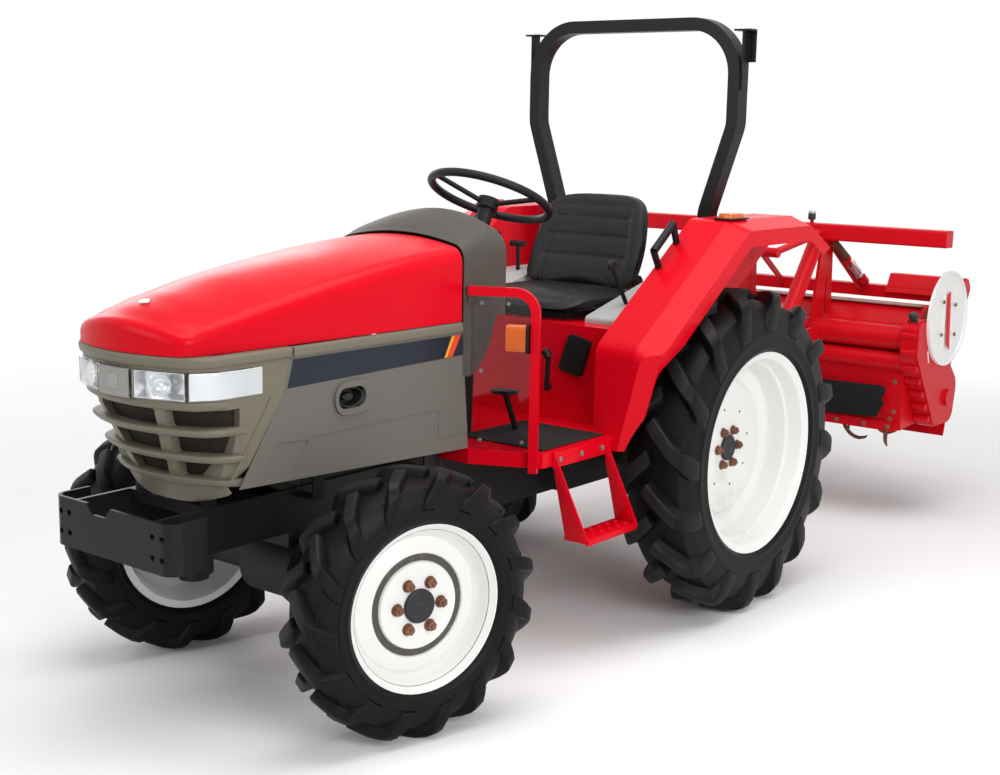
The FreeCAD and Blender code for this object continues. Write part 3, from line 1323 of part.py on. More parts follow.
console = plate("Console", "XZ", [
    (-120, s.deck_z),
    (400, s.deck_z),
    (400, s.deck_z + 20, 15),
    (60, s.deck_z + 110, 60),
    (-120, s.deck_z + 110, 20),
], 232, s.fender_inner - 232)
sub_part("consoles", group("Consoles", [console, mirrored("ConsoleRight", console)]))
lever = fuse("Lever", [
    bar("LeverRod", (260, 300, s.deck_z + 40), (330, 285, s.deck_z + 175), 7),
    ring("LeverKnob", (333, 284, s.deck_z + 182), (0, 1, 0), 9, 9),
])
lever_left = cut("LeverLeft", lever, [console])
tee_lever = cut("TeeLever", fuse("TeeLeverWhole", [
    bar("TeeRod", (70, -300, s.deck_z + 60), (74, -300, s.deck_z + 196), 7),
    bar("TeeGrip", (74, -330, s.deck_z + 200), (74, -270, s.deck_z + 200), 11),
]), [mirrored("TeeConsole", console)])
pedal = fuse("Pedal", [
    bar("PedalStem", (705, 200, s.floor_z + s.mat_thick + s.gap + 4), (760, 200, s.floor_z + 130), 9),
    box("PedalPad", 735, 785, 165, 235, s.floor_z + 125, s.floor_z + 137),
])
gate_plate = copy_of("GatePlate", plate("GatePlateFlat", "YZ", [
    (-50, -62, 12),
    (40, -62, 12),
    (50, 60, 12),
    (-32, 60, 12),
], 0, 14), (s.deck_front + s.gap, 252, 858), (1, 0, 0), -12)
gate_lever = fuse("GateLever", [
    bar("GateLeverFoot", (s.deck_front - 1, 150, 744), (s.deck_front + 40, 168, 744), 8),
    bar("GateLeverRod", (s.deck_front + 40, 168, 744), (s.deck_front + 62, 190, 850), 8),
    bar("GateLeverNeck", (s.deck_front + 62, 190, 850), (s.deck_front + 66, 178, 872), 14),
])
# the tall lever starts on the dash post and bends back under the steering wheel
dash_lever = fuse("DashLever", [
    bar("DashLeverFoot", (s.cowl_rear + 40, -112, 980), (s.cowl_rear - 45, -112, 1000), 7),
    bar("DashLeverRod", (s.cowl_rear - 45, -112, 1000), (s.wheel_x - 60, -112, 1175), 7),
    bar("DashLeverGrip", (s.wheel_x - 60, -112, 1175), (s.wheel_x - 185, -112, 1215), 9),
])
sub_part("controls", group("Controls", [
    lever_left, mirrored("LeverRight", lever_left), tee_lever, pedal, mirrored("PedalRight", pedal),
    gate_plate, cut("GateLeverSeated", gate_lever, [box("DeckWall", 0, s.deck_front + s.gap, 100, 300, 700, 900)]),
    cut("DashLeverSeated", dash_lever, [dash_post]),
]))
handle = fuse("GrabHandle", [
    bar("HandleGrip", (268, 396, 1180), (160, 396, 1262), 13),
    bar("HandleFootLow", (268, 396, 1180), (236, 396, 1128), 11),
    bar("HandleFootHigh", (160, 396, 1262), (136, 396, 1200), 11),
])
sub_part("grab_handles", group("GrabHandles", [
    cut("HandleLeft", handle, [fender]),
    cut("HandleRight", mirrored("HandleTwin", handle), [mirrored("FenderTool", fender)]),
]))

# ---------------------------------------------------------------- three-point linkage

def along(start, end, share):
    """The point at a share of the way from one point to another."""
    return tuple(a + (b - a) * share for a, b in zip(start, end))


def flat_link(name, start, end, wide, thick, eye, bore):
    """A flat link in an XZ plane with an eye at each end: start and end are (x, y, z)."""
    turn = math.degrees(math.atan2(number(end[2] - start[2]), number(end[0] - start[0])))
    length = root((end[0] - start[0]) * (end[0] - start[0]) + (end[2] - start[2]) * (end[2] - start[2]))
    strap = fuse(name + "Strap", [
        box(name + "Bar", 0, length, -thick / 2, thick / 2, -wide / 2, wide / 2),
        bar(name + "EyeStart", (0, -thick / 2 - 3, 0), (0, thick / 2 + 3, 0), eye),
        bar(name + "EyeEnd", (length, -thick / 2 - 3, 0), (length, thick / 2 + 3, 0), eye),
    ])
    drilled = cut(name + "Drilled", strap, [
        bar(name + "BoreStart", (0, -thick, 0), (0, thick, 0), bore),
        bar(name + "BoreEnd", (length, -thick, 0), (length, thick, 0), bore),
    ])
    return copy_of(name, drilled, start, (0, 1, 0), -turn)


pin_bore = 11
lower_start = (s.link_x, s.link_y, s.link_z)
lower_end = (s.hitch_x, s.link_y, s.hitch_z)
lower_link = flat_link("LowerLink", lower_start, lower_end, 46, 14, 30, pin_bore)
hitch_pin = bar("HitchPin", (s.hitch_x, s.link_y - 14, s.hitch_z), (s.hitch_x, s.link_y + 30, s.hitch_z), 10.9)
sub_part("lower_links", group("LowerLinks", [lower_link, mirrored("LowerLinkRight", lower_link)]))

arm = flat_link("LiftArm", (s.arm_x, s.arm_y - 40, s.arm_z), (s.arm_tip_x, s.arm_y - 40, s.arm_tip_z), 44, 16, 32, pin_bore)
arm_shaft = bar("ArmShaft", (s.arm_x, 150.3, s.arm_z), (s.arm_x, s.arm_y - 47, s.arm_z), 30)
lift_arm = fuse("LiftArmSide", [arm, arm_shaft])
sub_part("lift_arms", group("LiftArms", [lift_arm, mirrored("LiftArmRight", lift_arm)]))

foot = along(lower_start, lower_end, s.rod_foot)
rod_top = (s.arm_tip_x, s.arm_y - 15, s.arm_tip_z)
rod_low = along(rod_top, (foot[0], s.arm_y - 5, foot[2]), 0.86)
lift_rod = fuse("LiftRod", [
    bar("RodBar", rod_top, rod_low, 11),
    bar("RodSleeve", along(rod_top, rod_low, 0.35), along(rod_top, rod_low, 0.7), 18),
    bar("RodEye", (s.arm_tip_x, s.arm_y - 28, s.arm_tip_z), (s.arm_tip_x, s.arm_y - 4, s.arm_tip_z), 24),
    bar("RodPin", (s.arm_tip_x, s.arm_y - 54, s.arm_tip_z), (s.arm_tip_x, s.arm_y - 28, s.arm_tip_z), 10.9),
])
sub_part("lift_rods", group("LiftRods", [lift_rod, mirrored("LiftRodRight", lift_rod)]))

top_start = (s.top_link_x, 0, s.top_link_z)
top_end = (s.mast_x, 0, s.mast_z)
top_link = fuse("TopLink", [
    flat_link("TopLinkStrap", top_start, along(top_start, top_end, 0.24), 34, 24, 26, 10),
    bar("TopLinkTube", along(top_start, top_end, 0.2), along(top_start, top_end, 0.8), 20),
    bar("TopLinkScrew", along(top_start, top_end, 0.8), along(top_start, top_end, 0.96), 13),
    bar("TopLinkHead", (s.mast_x, -14, s.mast_z), (s.mast_x, 14, s.mast_z), 38),
])
top_link = cut("TopLinkOpen", top_link, [
    bar("TopLinkHeadBore", (s.mast_x, -20, s.mast_z), (s.mast_x, 20, s.mast_z), s.mast_bar_radius + s.open_pivot),
])
sub_part("top_link", top_link)

shaft_start = (s.stub_x - 20, 0, s.stub_z)
shaft_end = (s.tube_x + 205, 0, s.tube_z)


def fork(name, point, toward, bore):
    """The two cheeks of a joint's fork round its pin, and the collar that joins them."""
    cheeks = [
        bar("%sCheek%d" % (name, i), (point[0], y, point[2]), (point[0], y + 12, point[2]), 26)
        for i, y in enumerate((-24.3, 12.3))
    ]
    arms = [
        copy_of("%sArm%d" % (name, i), box("%sArmBox%d" % (name, i), 0, 66, y, y + 12, -18, 18), point, (0, 1, 0), toward)
        for i, y in enumerate((-24.3, 12.3))
    ]
    return cut(name, fuse(name + "Whole", cheeks + arms), [
        bar(name + "Bore", (point[0], -40, point[2]), (point[0], 40, point[2]), bore),
    ])


shaft_slope = math.degrees(math.atan2(number(shaft_end[2] - shaft_start[2]), number(shaft_start[0] - shaft_end[0])))
drive_shaft = fuse("DriveShaft", [
    fork("ForkFront", shaft_start, 180 + shaft_slope, s.joint_pin + s.pin_fit),
    fork("ForkRear", shaft_end, shaft_slope, s.joint_pin + s.open_pivot),
    bar("ShaftTube", along(shaft_start, shaft_end, 0.075), along(shaft_start, shaft_end, 0.62), 27),
    bar("ShaftRod", along(shaft_start, shaft_end, 0.6), along(shaft_start, shaft_end, 0.925), 22),
])
sub_part("drive_shaft", drive_shaft)

# ---------------------------------------------------------------- tiller

beam = plate("TillerBeam", "XZ", [
    (s.beam_x, s.beam_z - s.beam_deep, 8),
    (s.beam_x + s.beam_deep, s.beam_z - s.beam_deep, 8),
    (s.beam_x + s.beam_deep, s.beam_z, 8),
    (s.beam_x, s.beam_z, 8),
], -s.beam_half, s.beam_half * 2)

axle_tube = fuse("AxleTube", [
    bar("TubeBar", (s.tube_x, -s.case_y + 15, s.tube_z), (s.tube_x, s.case_y - s.case_thick, s.tube_z), s.tube_radius),
    bar("TubeFlange", (s.tube_x, s.case_y - s.case_thick - 14, s.tube_z), (s.tube_x, s.case_y - s.case_thick, s.tube_z), 54),
])

gear_box = fuse("GearBox", [
    box("GearBoxBody", s.tube_x - 52, s.tube_x + 110, -85, 85, s.tube_z - 46, s.tube_z + 85),
    bar("GearBoxNose", (s.tube_x + 100, 0, s.tube_z), (s.tube_x + 165, 0, s.tube_z), 40),
    bar("GearBoxShaft", (s.tube_x + 165, 0, s.tube_z), (s.tube_x + 177, 0, s.tube_z), 17),
    box("GearBoxTongue", s.tube_x + 170, s.tube_x + 219, -5, 5, s.tube_z - 14, s.tube_z + 14),
    bar("GearBoxPin", (s.tube_x + 205, -25, s.tube_z), (s.tube_x + 205, 25, s.tube_z), s.joint_pin),
])

case_top = (s.tube_x - 5, s.tube_z)
case_low = (s.rotor_x, s.rotor_z)
case_line = [
    (s.tube_x - 80, s.tube_z + 75, 60),
    (s.tube_x + 62, s.tube_z + 75, 40),
    (s.tube_x + 66, s.tube_z - 60, 30),
    (s.rotor_x + 110, s.rotor_z - 112, 70),
    (s.rotor_x - 70, s.rotor_z - 112, 60),
    (s.rotor_x - 105, s.rotor_z + 60, 80),
]
case_bolts = [(s.tube_x + 58, s.tube_z + 20), (s.tube_x + 60, s.tube_z - 45)] + [
    (s.tube_x + 56 + (s.rotor_x + 92 - s.tube_x) * share, s.tube_z - 80 + (s.rotor_z + 10 - s.tube_z) * share)
    for share in (0.12, 0.34, 0.56, 0.78, 1)
]
chain_case = fuse("ChainCase", [
    plate("ChainCaseBody", "XZ", case_line, s.case_y - s.case_thick, s.case_thick - 12, holes=[(s.rotor_x, s.rotor_z, 42)]),
    plate("ChainCaseLid", "XZ", [
        (s.tube_x - 74, s.tube_z + 69, 54),
        (s.tube_x + 56, s.tube_z + 69, 34),
        (s.tube_x + 60, s.tube_z - 57, 24),
        (s.rotor_x + 107, s.rotor_z - 106, 64),
        (s.rotor_x - 67, s.rotor_z - 106, 54),
        (s.rotor_x - 99, s.rotor_z + 58, 74),
    ], s.case_y - 12, 12),
    bar("CaseBoss", (s.rotor_x, s.case_y - 1, s.rotor_z), (s.rotor_x, s.case_y + 14, s.rotor_z), 34),
    bar("CaseCapNeck", (s.tube_x + 30, s.case_y - 42, s.tube_z + 60), (s.tube_x + 30, s.case_y - 42, s.tube_z + 84), 20),
    bar("CaseCap", (s.tube_x + 30, s.case_y - 42, s.tube_z + 84), (s.tube_x + 30, s.case_y - 42, s.tube_z + 100), 14),
] + [
    bar("CaseBolt%d" % i, (x, s.case_y - s.case_thick + 4, z), (x, s.case_y - 6, z), 13)
    for i, (x, z) in enumerate(case_bolts)
])
sub_part("chain_case", chain_case)

side_support = plate("SideSupport", "XZ", [
    (s.tube_x - 70, s.tube_z + 60, 40),
    (s.tube_x + 55, s.tube_z + 60, 30),
    (s.tube_x + 58, s.tube_z - 60, 30),
    (s.rotor_x + 100, s.rotor_z - 100, 60),
    (s.rotor_x - 80, s.rotor_z - 100, 60),
    (s.rotor_x - 100, s.rotor_z + 60, 70),
], -s.case_y, 15, holes=[(s.rotor_x, s.rotor_z, 42)])
sub_part("tiller_axle_tube", fuse("AxleTubeWithBox", [axle_tube, gear_box, side_support]))

rotor_shaft = bar("RotorShaft", (s.rotor_x, -s.case_y - 10, s.rotor_z), (s.rotor_x, s.case_y - s.case_thick + 30, s.rotor_z), 41.9)


def tine(name, y, angle, hand):
    """One curved tine bolted to the rotor shaft."""
    blade = plate(name + "Blade", "XZ", [
        (-18, 30),
        (18, 30),
        (26, s.tine_radius * 0.62, 90),
        (-6, s.tine_radius * 0.98),
        (-58, s.tine_radius * 0.955),
        (-18, s.tine_radius * 0.62, 90),
    ], -5, 10)
    foot_plate = box(name + "Foot", -58, -6, 0, 55 * hand, s.tine_radius * 0.9, s.tine_radius * 0.94) if hand > 0 else \
        box(name + "Foot", -58, -6, -55, 0, s.tine_radius * 0.9, s.tine_radius * 0.94)
    return copy_of(name, fuse(name + "Flat", [blade, foot_plate]), (s.rotor_x, y, s.rotor_z), (0, 1, 0), angle)


tines = []
stations = int(number(s.tine_stations))
for i in range(stations):
    y = s.rotor_half * (2 * i / (stations - 1) - 1) * 0.86
    for k in range(4):
        tines.append(tine("Tine%d%d" % (i, k), y, i * 35 + k * 90, 1 if k % 2 else -1))
sub_part("tiller_rotor", fuse("Rotor", [rotor_shaft] + tines))

hood_width = s.case_y * 2 - s.case_thick - 15
hood_front = s.rotor_x + s.cover_radius
hood_line = [
    (hood_front, s.rotor_z - 108),
    (hood_front, s.rotor_z + 190, 25),
    (s.tube_x - 62, s.rotor_z + 204, 16),
    (s.tube_x - 62, s.tube_z + 40, 30),
    (s.rotor_x + 80, s.hood_high, 40),
    (s.rotor_x - 20, s.hood_high, 120),
    (s.flap_x, s.flap_z + 16),
]
hood_arc = plate("HoodArc", "XZ", hood_line + [
    (s.flap_x + s.sheet, s.flap_z + 16 - s.sheet),
    (s.rotor_x - 18, s.hood_high - s.sheet, 116),
    (s.rotor_x + 79, s.hood_high - s.sheet, 44),
    (s.tube_x - 62 - s.sheet, s.tube_z + 38, 26),
    (s.tube_x - 62 - s.sheet, s.rotor_z + 200, 20),
    (hood_front - s.sheet, s.rotor_z + 186, 21),
    (hood_front - s.sheet, s.rotor_z - 108),
], 15 - s.case_y, hood_width)
hood_ends = [
    plate("HoodEnd%d" % i, "XZ", hood_line + [
        (s.rotor_x - 190, s.rotor_z + 90),
        (s.rotor_x - 90, s.rotor_z - 90),
        (s.rotor_x + 190, s.rotor_z - 100),
    ], y, s.sheet, holes=[(s.rotor_x, s.rotor_z, 60)])
    for i, y in enumerate((15 - s.case_y, s.case_y - s.case_thick - s.sheet))
]
front_roll = bar("FrontRoll", (hood_front - 6, 15 - s.case_y, s.rotor_z + 168),
                 (hood_front - 6, s.case_y - s.case_thick, s.rotor_z + 168), 36)
front_rail = box("FrontRail", hood_front, hood_front + 10, 60 - s.case_y, s.case_y - s.case_thick - 14,
                 s.rotor_z - 114, s.rotor_z - 76)
hinge_ears = [
    plate("HingeEar%d" % i, "XZ", [
        (s.flap_x - 9, s.flap_z - 9, 8),
        (s.flap_x + 9, s.flap_z - 9, 8),
        (s.flap_x + 34, s.flap_z + 44),
        (s.flap_x - 4, s.flap_z + 13),
    ], y, 8)
    for i, y in enumerate((-580, -4, 520))
]
hinge_pin = bar("HingePin", (s.flap_x, -582, s.flap_z), (s.flap_x, 530, s.flap_z), s.flap_pin)
sub_part("tiller_hood", fuse("Hood", [hood_arc, hinge_pin, front_roll, front_rail] + hinge_ears + hood_ends))

mast_side = plate("MastSide", "XZ", [
    (s.beam_x + 4, s.beam_z - s.beam_deep),
    (s.beam_x + s.beam_deep - 4, s.beam_z - s.beam_deep),
    (s.tube_x + 40, s.tube_z + 30),
    (s.tube_x - 54, s.tube_z + 30),
], 170, 12)
strap = plate("HoodStrap", "XZ", [
    (s.beam_x - 40, s.hood_high - 28),
    (s.beam_x - 30, s.beam_z - s.beam_deep - 30, 12),
    (s.beam_x + 12, s.beam_z - s.beam_deep + 6, 12),
    (s.beam_x + 50, s.beam_z - s.beam_deep + 6),
    (s.beam_x + 20, s.beam_z - s.beam_deep - 60),
    (s.beam_x + 4, s.hood_high - 55),
], 172, 9)
spring_start = (s.beam_x + 45, 206, s.beam_z - s.beam_deep + 6)
spring_end = (s.rotor_x - 146, 206, s.hood_high + 45)
spring_rod = fuse("SpringRod", [
    bar("SpringRodBar", spring_start, spring_end, 9),
    bar("SpringSleeve", along(spring_start, spring_end, 0.56), along(spring_start, spring_end, 0.76), 17),
    bar("SpringCollar", along(spring_start, spring_end, 0.4), along(spring_start, spring_end, 0.44), 19),
    bar("SpringClevis", along(spring_start, spring_end, 0.84), along(spring_start, spring_end, 0.95), 20),
])
depth_lever = fuse("DepthLever", [
    bar("DepthStem", (s.beam_x + 50, 120, s.beam_z - 4), (s.beam_x + 52, 120, s.beam_z + 24), 8),
    bar("DepthKnob", (s.beam_x + 52, 120, s.beam_z + 20), (s.beam_x + 55, 120, s.beam_z + 48), 14),
])
mast_tube = bar("MastTube", (s.mast_x - 30, 195, s.hitch_z + 60), (s.beam_x + s.beam_deep / 2, 150, s.beam_z - s.beam_deep / 2), 32)
hitch_plate = plate("HitchPlate", "XZ", [
    (s.hitch_x + 35, s.hitch_z - 40, 25),
    (s.hitch_x + 35, s.hitch_z + 45, 25),
    (s.mast_x - 60, s.hitch_z + 110, 25),
    (s.tube_x + 20, s.tube_z + 30),
    (s.tube_x + 20, s.tube_z - 30),
    (s.mast_x - 60, s.hitch_z - 40, 25),
], s.link_y + 20, 12)
mast_top = bar("MastTop", (s.mast_x, -210, s.mast_z), (s.mast_x, 210, s.mast_z), s.mast_bar_radius)
mast_strut = bar("MastStrut", (s.mast_x, 190, s.mast_z), (s.beam_x + s.beam_deep / 2, 170, s.beam_z - s.beam_deep / 2), 14)
rear_bar = box("RearBar", s.rotor_x - 200, s.rotor_x - 140, -620, 620, s.hood_high - 6, s.hood_high + 44)
rear_shelf = plate("RearShelf", "XZ", [
    (s.rotor_x - 206, s.hood_high + 44),
    (s.rotor_x - 140, s.hood_high + 20),
    (s.rotor_x - 128, s.hood_high + 20),
    (s.rotor_x - 170, s.hood_high + 96),
    (s.rotor_x - 214, s.hood_high + 96),
], 300, 320)
rear_cheek = plate("RearCheek", "XZ", [
    (s.rotor_x - 120, s.hood_high + 62, 20),
    (s.rotor_x - 205, s.hood_high + 100, 20),
    (s.rotor_x - 236, s.hood_high + 52, 20),
    (s.rotor_x - 150, s.hood_high - 90, 20),
    (s.rotor_x - 90, s.hood_high - 60, 20),
], 620, 8)
rear_struts = plate("RearStrut", "XZ", [
    (s.beam_x, s.beam_z - s.beam_deep),
    (s.beam_x + 50, s.beam_z - s.beam_deep),
    (s.rotor_x - 140, s.hood_high + 8),
    (s.rotor_x - 180, s.hood_high + 8),
], 182, 10)

sub_part("tiller_frame", cut("TillerFrame", fuse("TillerFrameWhole", [
    beam,
    both_sides("MastSides", mast_side),
    both_sides("MastTubes", mast_tube),
    both_sides("HitchPlates", hitch_plate),
    both_sides("HitchPins", hitch_pin),
    both_sides("MastStruts", mast_strut),
    mast_top,
    rear_bar,
    both_sides("RearStruts", rear_struts),
    both_sides("HoodStraps", strap),
    both_sides("RearCheeks", rear_cheek),
    rear_shelf,
    spring_rod,
    depth_lever,
]), [axle_tube]))

disc_face = turned("SideDiscFace", [
    (0, 0),
    (5, 0),
    (5, s.disc_radius - 12),
    (12, s.disc_radius - 9),
    (12, s.disc_radius),
    (0, s.disc_radius),
], (s.disc_x, s.case_y + s.gap * 0, s.disc_z))
disc_ribs = [
    box("DiscRib%d" % i, s.disc_x + x, s.disc_x + x + 12, s.case_y + 4, s.case_y + 10, s.disc_z - reach, s.disc_z + reach)
    for i, (x, reach) in enumerate(((-74, 120), (30, 120)))
]
side_disc = fuse("SideDisc", [disc_face] + disc_ribs)
sub_part("side_disc", side_disc)

flap_sheet = plate("RearCoverSheet", "XZ", [
    (s.flap_x + 3, s.flap_z - 9),
    (s.flap_x - 3, s.flap_z - 9),
    (s.machine_rear, s.rotor_z - 40, "bow"),
    (s.machine_rear + 24, s.rotor_z - 215),
    (s.machine_rear + 30, s.rotor_z - 213),
    (s.machine_rear + 6, s.rotor_z - 40, "bow"),
], 30 - s.case_y, s.case_y * 2 - s.case_thick - 60)
barrels = fuse("RearCoverBarrels", [
    bar("Barrel%d" % i, (s.flap_x, y, s.flap_z), (s.flap_x, y + 180, s.flap_z), 12)
    for i, y in enumerate((-420, 180))
])
flap = cut("RearCover", fuse("RearCoverWhole", [flap_sheet, barrels]), [
    bar("BarrelBore", (s.flap_x, -600, s.flap_z), (s.flap_x, 600, s.flap_z), s.flap_pin + s.pin_fit),
])
sub_part("tiller_rear_cover", flap)

# ---------------------------------------------------------------- build and write

doc.recompute()
failed = [item.Name for item in doc.Objects if {"Invalid", "Error"} & set(item.State)]
for label, item in parts.items():
    shape = item.Shape
    if shape.isNull() or not shape.isValid() or not shape.Solids:
        failed.append(label)
if failed:
    raise RuntimeError("not built: " + ", ".join(failed))
os.makedirs("parts", exist_ok=True)
for label, item in parts.items():
    item.Shape.exportStep("parts/%s.step" % label)
print("%d sub-parts written" % len(parts))
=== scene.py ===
import json
import math

import bpy
from mathutils import Matrix, Vector

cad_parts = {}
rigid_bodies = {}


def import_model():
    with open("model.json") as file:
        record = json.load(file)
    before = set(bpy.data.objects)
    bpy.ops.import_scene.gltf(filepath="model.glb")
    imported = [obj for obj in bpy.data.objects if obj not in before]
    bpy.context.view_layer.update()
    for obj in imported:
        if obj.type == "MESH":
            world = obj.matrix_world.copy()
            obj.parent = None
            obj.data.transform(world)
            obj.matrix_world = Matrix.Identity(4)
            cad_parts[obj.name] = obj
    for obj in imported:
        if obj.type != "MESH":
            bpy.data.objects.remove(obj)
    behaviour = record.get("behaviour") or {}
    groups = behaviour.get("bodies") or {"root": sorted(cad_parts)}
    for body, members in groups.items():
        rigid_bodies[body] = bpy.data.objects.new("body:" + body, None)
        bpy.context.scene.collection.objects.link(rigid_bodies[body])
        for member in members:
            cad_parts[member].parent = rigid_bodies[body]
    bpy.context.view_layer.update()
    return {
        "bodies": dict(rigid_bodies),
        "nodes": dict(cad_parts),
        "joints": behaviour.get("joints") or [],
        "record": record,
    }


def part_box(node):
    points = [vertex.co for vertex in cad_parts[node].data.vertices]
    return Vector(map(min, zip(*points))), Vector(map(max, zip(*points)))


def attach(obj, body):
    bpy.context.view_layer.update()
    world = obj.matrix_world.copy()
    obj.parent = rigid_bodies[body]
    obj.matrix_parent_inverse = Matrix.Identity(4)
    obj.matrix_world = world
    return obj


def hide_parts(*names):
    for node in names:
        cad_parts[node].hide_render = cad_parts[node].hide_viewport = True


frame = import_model()
nodes = frame["nodes"]

# ------------------------------------------------------------------ studio
# A pale seamless floor under broad soft boxes, one overhead and one on each side.
# The camera stands off the left front corner at standing eye height.

scene = bpy.context.scene
scene.view_settings.view_transform = "Standard"


def nothing_selected():
    """Leaves edit mode, if it is on, and deselects every object."""
    if bpy.context.mode != "OBJECT":
        bpy.ops.object.mode_set(mode="OBJECT")
    bpy.ops.object.select_all(action="DESELECT")


def new_material(name):
    """An empty node material and its Principled shader."""
    material = bpy.data.materials.new(name)
    material.use_nodes = True
    return material, material.node_tree, material.node_tree.nodes["Principled BSDF"]


def add_node(tree, kind, **values):
    """A node whose sockets or settings are given by name."""
    node = tree.nodes.new(kind)
    for key, value in values.items():
        if key in node.inputs:
            node.inputs[key].default_value = value
        else:
            setattr(node, key, value)
    return node


def linked(tree, *links):
    """Links nodes: each link is a node, its output, the next node and its input."""
    for source, output, target, entry in links:
        tree.links.new(source.outputs[output], target.inputs[entry])


FLOOR_RADIUS = 14
FADE_START, FADE_END = 2.3, 5.2
nothing_selected()
bpy.ops.mesh.primitive_circle_add(vertices=96, radius=FLOOR_RADIUS, fill_type="NGON", location=(0, 0, 0))
floor = bpy.context.object
floor.name = "studio_floor"
floor_material, tree, shader = new_material("pale_floor")
shader.inputs["Base Color"].default_value = (0.98, 0.98, 0.98, 1)
shader.inputs["Roughness"].default_value = 0.75
shader.inputs["Specular IOR Level"].default_value = 0.2
coords = add_node(tree, "ShaderNodeTexCoord")
reach = add_node(tree, "ShaderNodeVectorMath", operation="LENGTH")
fade = add_node(tree, "ShaderNodeMapRange", **{"From Min": FADE_START, "From Max": FADE_END})
clear = add_node(tree, "ShaderNodeBsdfTransparent")
mix = add_node(tree, "ShaderNodeMixShader")
linked(tree, (coords, "Object", reach, 0), (reach, "Value", fade, "Value"), (fade, "Result", mix, "Fac"),
       (shader, "BSDF", mix, 1), (clear, "BSDF", mix, 2), (mix, "Shader", tree.nodes["Material Output"], "Surface"))
floor.data.materials.append(floor_material)

world = bpy.data.worlds.new("studio")
scene.world = world
world.use_nodes = True
tree = world.node_tree
ambient = tree.nodes["Background"]
ambient.inputs["Color"].default_value = (1, 1, 1, 1)
ambient.inputs["Strength"].default_value = 0.4
backdrop = add_node(tree, "ShaderNodeBackground", Color=(1, 1, 1, 1), Strength=1.0)
path = add_node(tree, "ShaderNodeLightPath")
seen = add_node(tree, "ShaderNodeMath", operation="MAXIMUM")
bright = add_node(tree, "ShaderNodeMath", operation="MAXIMUM")
mix = add_node(tree, "ShaderNodeMixShader")
linked(tree, (path, "Is Camera Ray", seen, 0), (path, "Is Transmission Ray", seen, 1),
       (seen, "Value", bright, 0), (path, "Is Glossy Ray", bright, 1), (bright, "Value", mix, "Fac"),
       (ambient, "Background", mix, 1), (backdrop, "Background", mix, 2),
       (mix, "Shader", tree.nodes["World Output"], "Surface"))

for name, place, aim, size, power in (
    ("overhead_box", (0.6, 0.8, 4.4), (0, 0, 0.6), (4.6, 2.6), 130),
    ("left_box", (2.4, 5.0, 2.6), (0, 0, 0.6), (3.4, 2.2), 150),
    ("front_box", (5.6, -1.6, 2.6), (0.6, 0, 0.7), (2.4, 2.0), 50),
    ("right_box", (-1.5, -5.0, 2.8), (0, 0, 0.8), (3.4, 2.2), 50),
):
    lamp = bpy.data.lights.new(name, "AREA")
    lamp.shape = "RECTANGLE"
    lamp.size, lamp.size_y = size
    lamp.energy = power
    holder = bpy.data.objects.new(name, lamp)
    scene.collection.objects.link(holder)
    holder.location = place
    holder.rotation_euler = (Vector(aim) - Vector(place)).to_track_quat("-Z", "Y").to_euler()

LENS, SENSOR_WIDTH = 53.07, 36
EYE_PLACE = (4.07566, 2.9284, 1.57343)
view_right = Vector((-0.62790676, 0.77809407, 0.01739881))
view_up = Vector((-0.12741472, -0.12482341, 0.98396372))
view_back = Vector((0.76778811, 0.61562061, 0.1775181))
eye = bpy.data.cameras.new("camera")
eye.lens = LENS
eye.sensor_width = SENSOR_WIDTH
camera = bpy.data.objects.new("camera", eye)
scene.collection.objects.link(camera)
turn = Matrix((view_right, view_up, view_back)).transposed().to_4x4()
camera.matrix_world = Matrix.Translation(EYE_PLACE) @ turn
scene.camera = camera

# ------------------------------------------------------------------ tyres
# Moulded farm tyres of black rubber, the rear ones taller: a rounded carcass with two rows of
# slanted lugs that widen at their feet and run down the shoulder, worn paler on their tops.

AXLE_X = -0.1115
SIDES = ("left", "right")
SIDE_Y = {"left": Matrix.Identity(4), "right": Matrix.Scale(-1, 4, (0, 1, 0))}
DOUBLES = 0.00002


def spot(x, y, z):
    """A place given in millimetres forward, left and up from the ground under the rear axle."""
    return Vector((x / 1000 + AXLE_X, y / 1000, z / 1000))


def drawn_line(name, points):
    """A line drawn point by point, in metres."""
    nothing_selected()
    bpy.ops.mesh.primitive_plane_add(size=0.01, location=(0, 0, 0))
    piece = bpy.context.object
    piece.name = name
    bpy.ops.object.mode_set(mode="EDIT")
    bpy.ops.mesh.select_all(action="SELECT")
    bpy.ops.mesh.merge(type="CENTER")
    bpy.ops.transform.translate(value=points[0])
    for before, after in zip(points, points[1:]):
        bpy.ops.mesh.extrude_vertices_move(TRANSFORM_OT_translate={"value": Vector(after) - Vector(before)})
    bpy.ops.mesh.select_all(action="SELECT")
    return piece


def closed_up():
    """Points every face outward and leaves edit mode."""
    bpy.ops.mesh.select_all(action="SELECT")
    bpy.ops.mesh.normals_make_consistent(inside=False)
    bpy.ops.object.mode_set(mode="OBJECT")


def spun(name, profile, steps=96):
    """A turned piece: the profile's points are (along Y, radius) in millimetres about the Y axis."""
    piece = drawn_line(name, [(0, y / 1000, r / 1000) for y, r in profile])
    bpy.ops.mesh.spin(steps=steps, angle=2 * math.pi, center=(0, 0, 0), axis=(0, 1, 0))
    bpy.ops.mesh.select_all(action="SELECT")
    bpy.ops.mesh.remove_doubles(threshold=DOUBLES)
    closed_up()
    return piece


def laid(name, rows):
    """A grid of faces laid through rows of points, in metres."""
    nothing_selected()
    bpy.ops.mesh.primitive_grid_add(x_subdivisions=len(rows[0]) - 1, y_subdivisions=len(rows) - 1, size=1)
    sheet = bpy.context.object
    sheet.name = name
    for i, row in enumerate(rows):
        for j, point in enumerate(row):
            sheet.data.vertices[i * len(row) + j].co = point
    return sheet


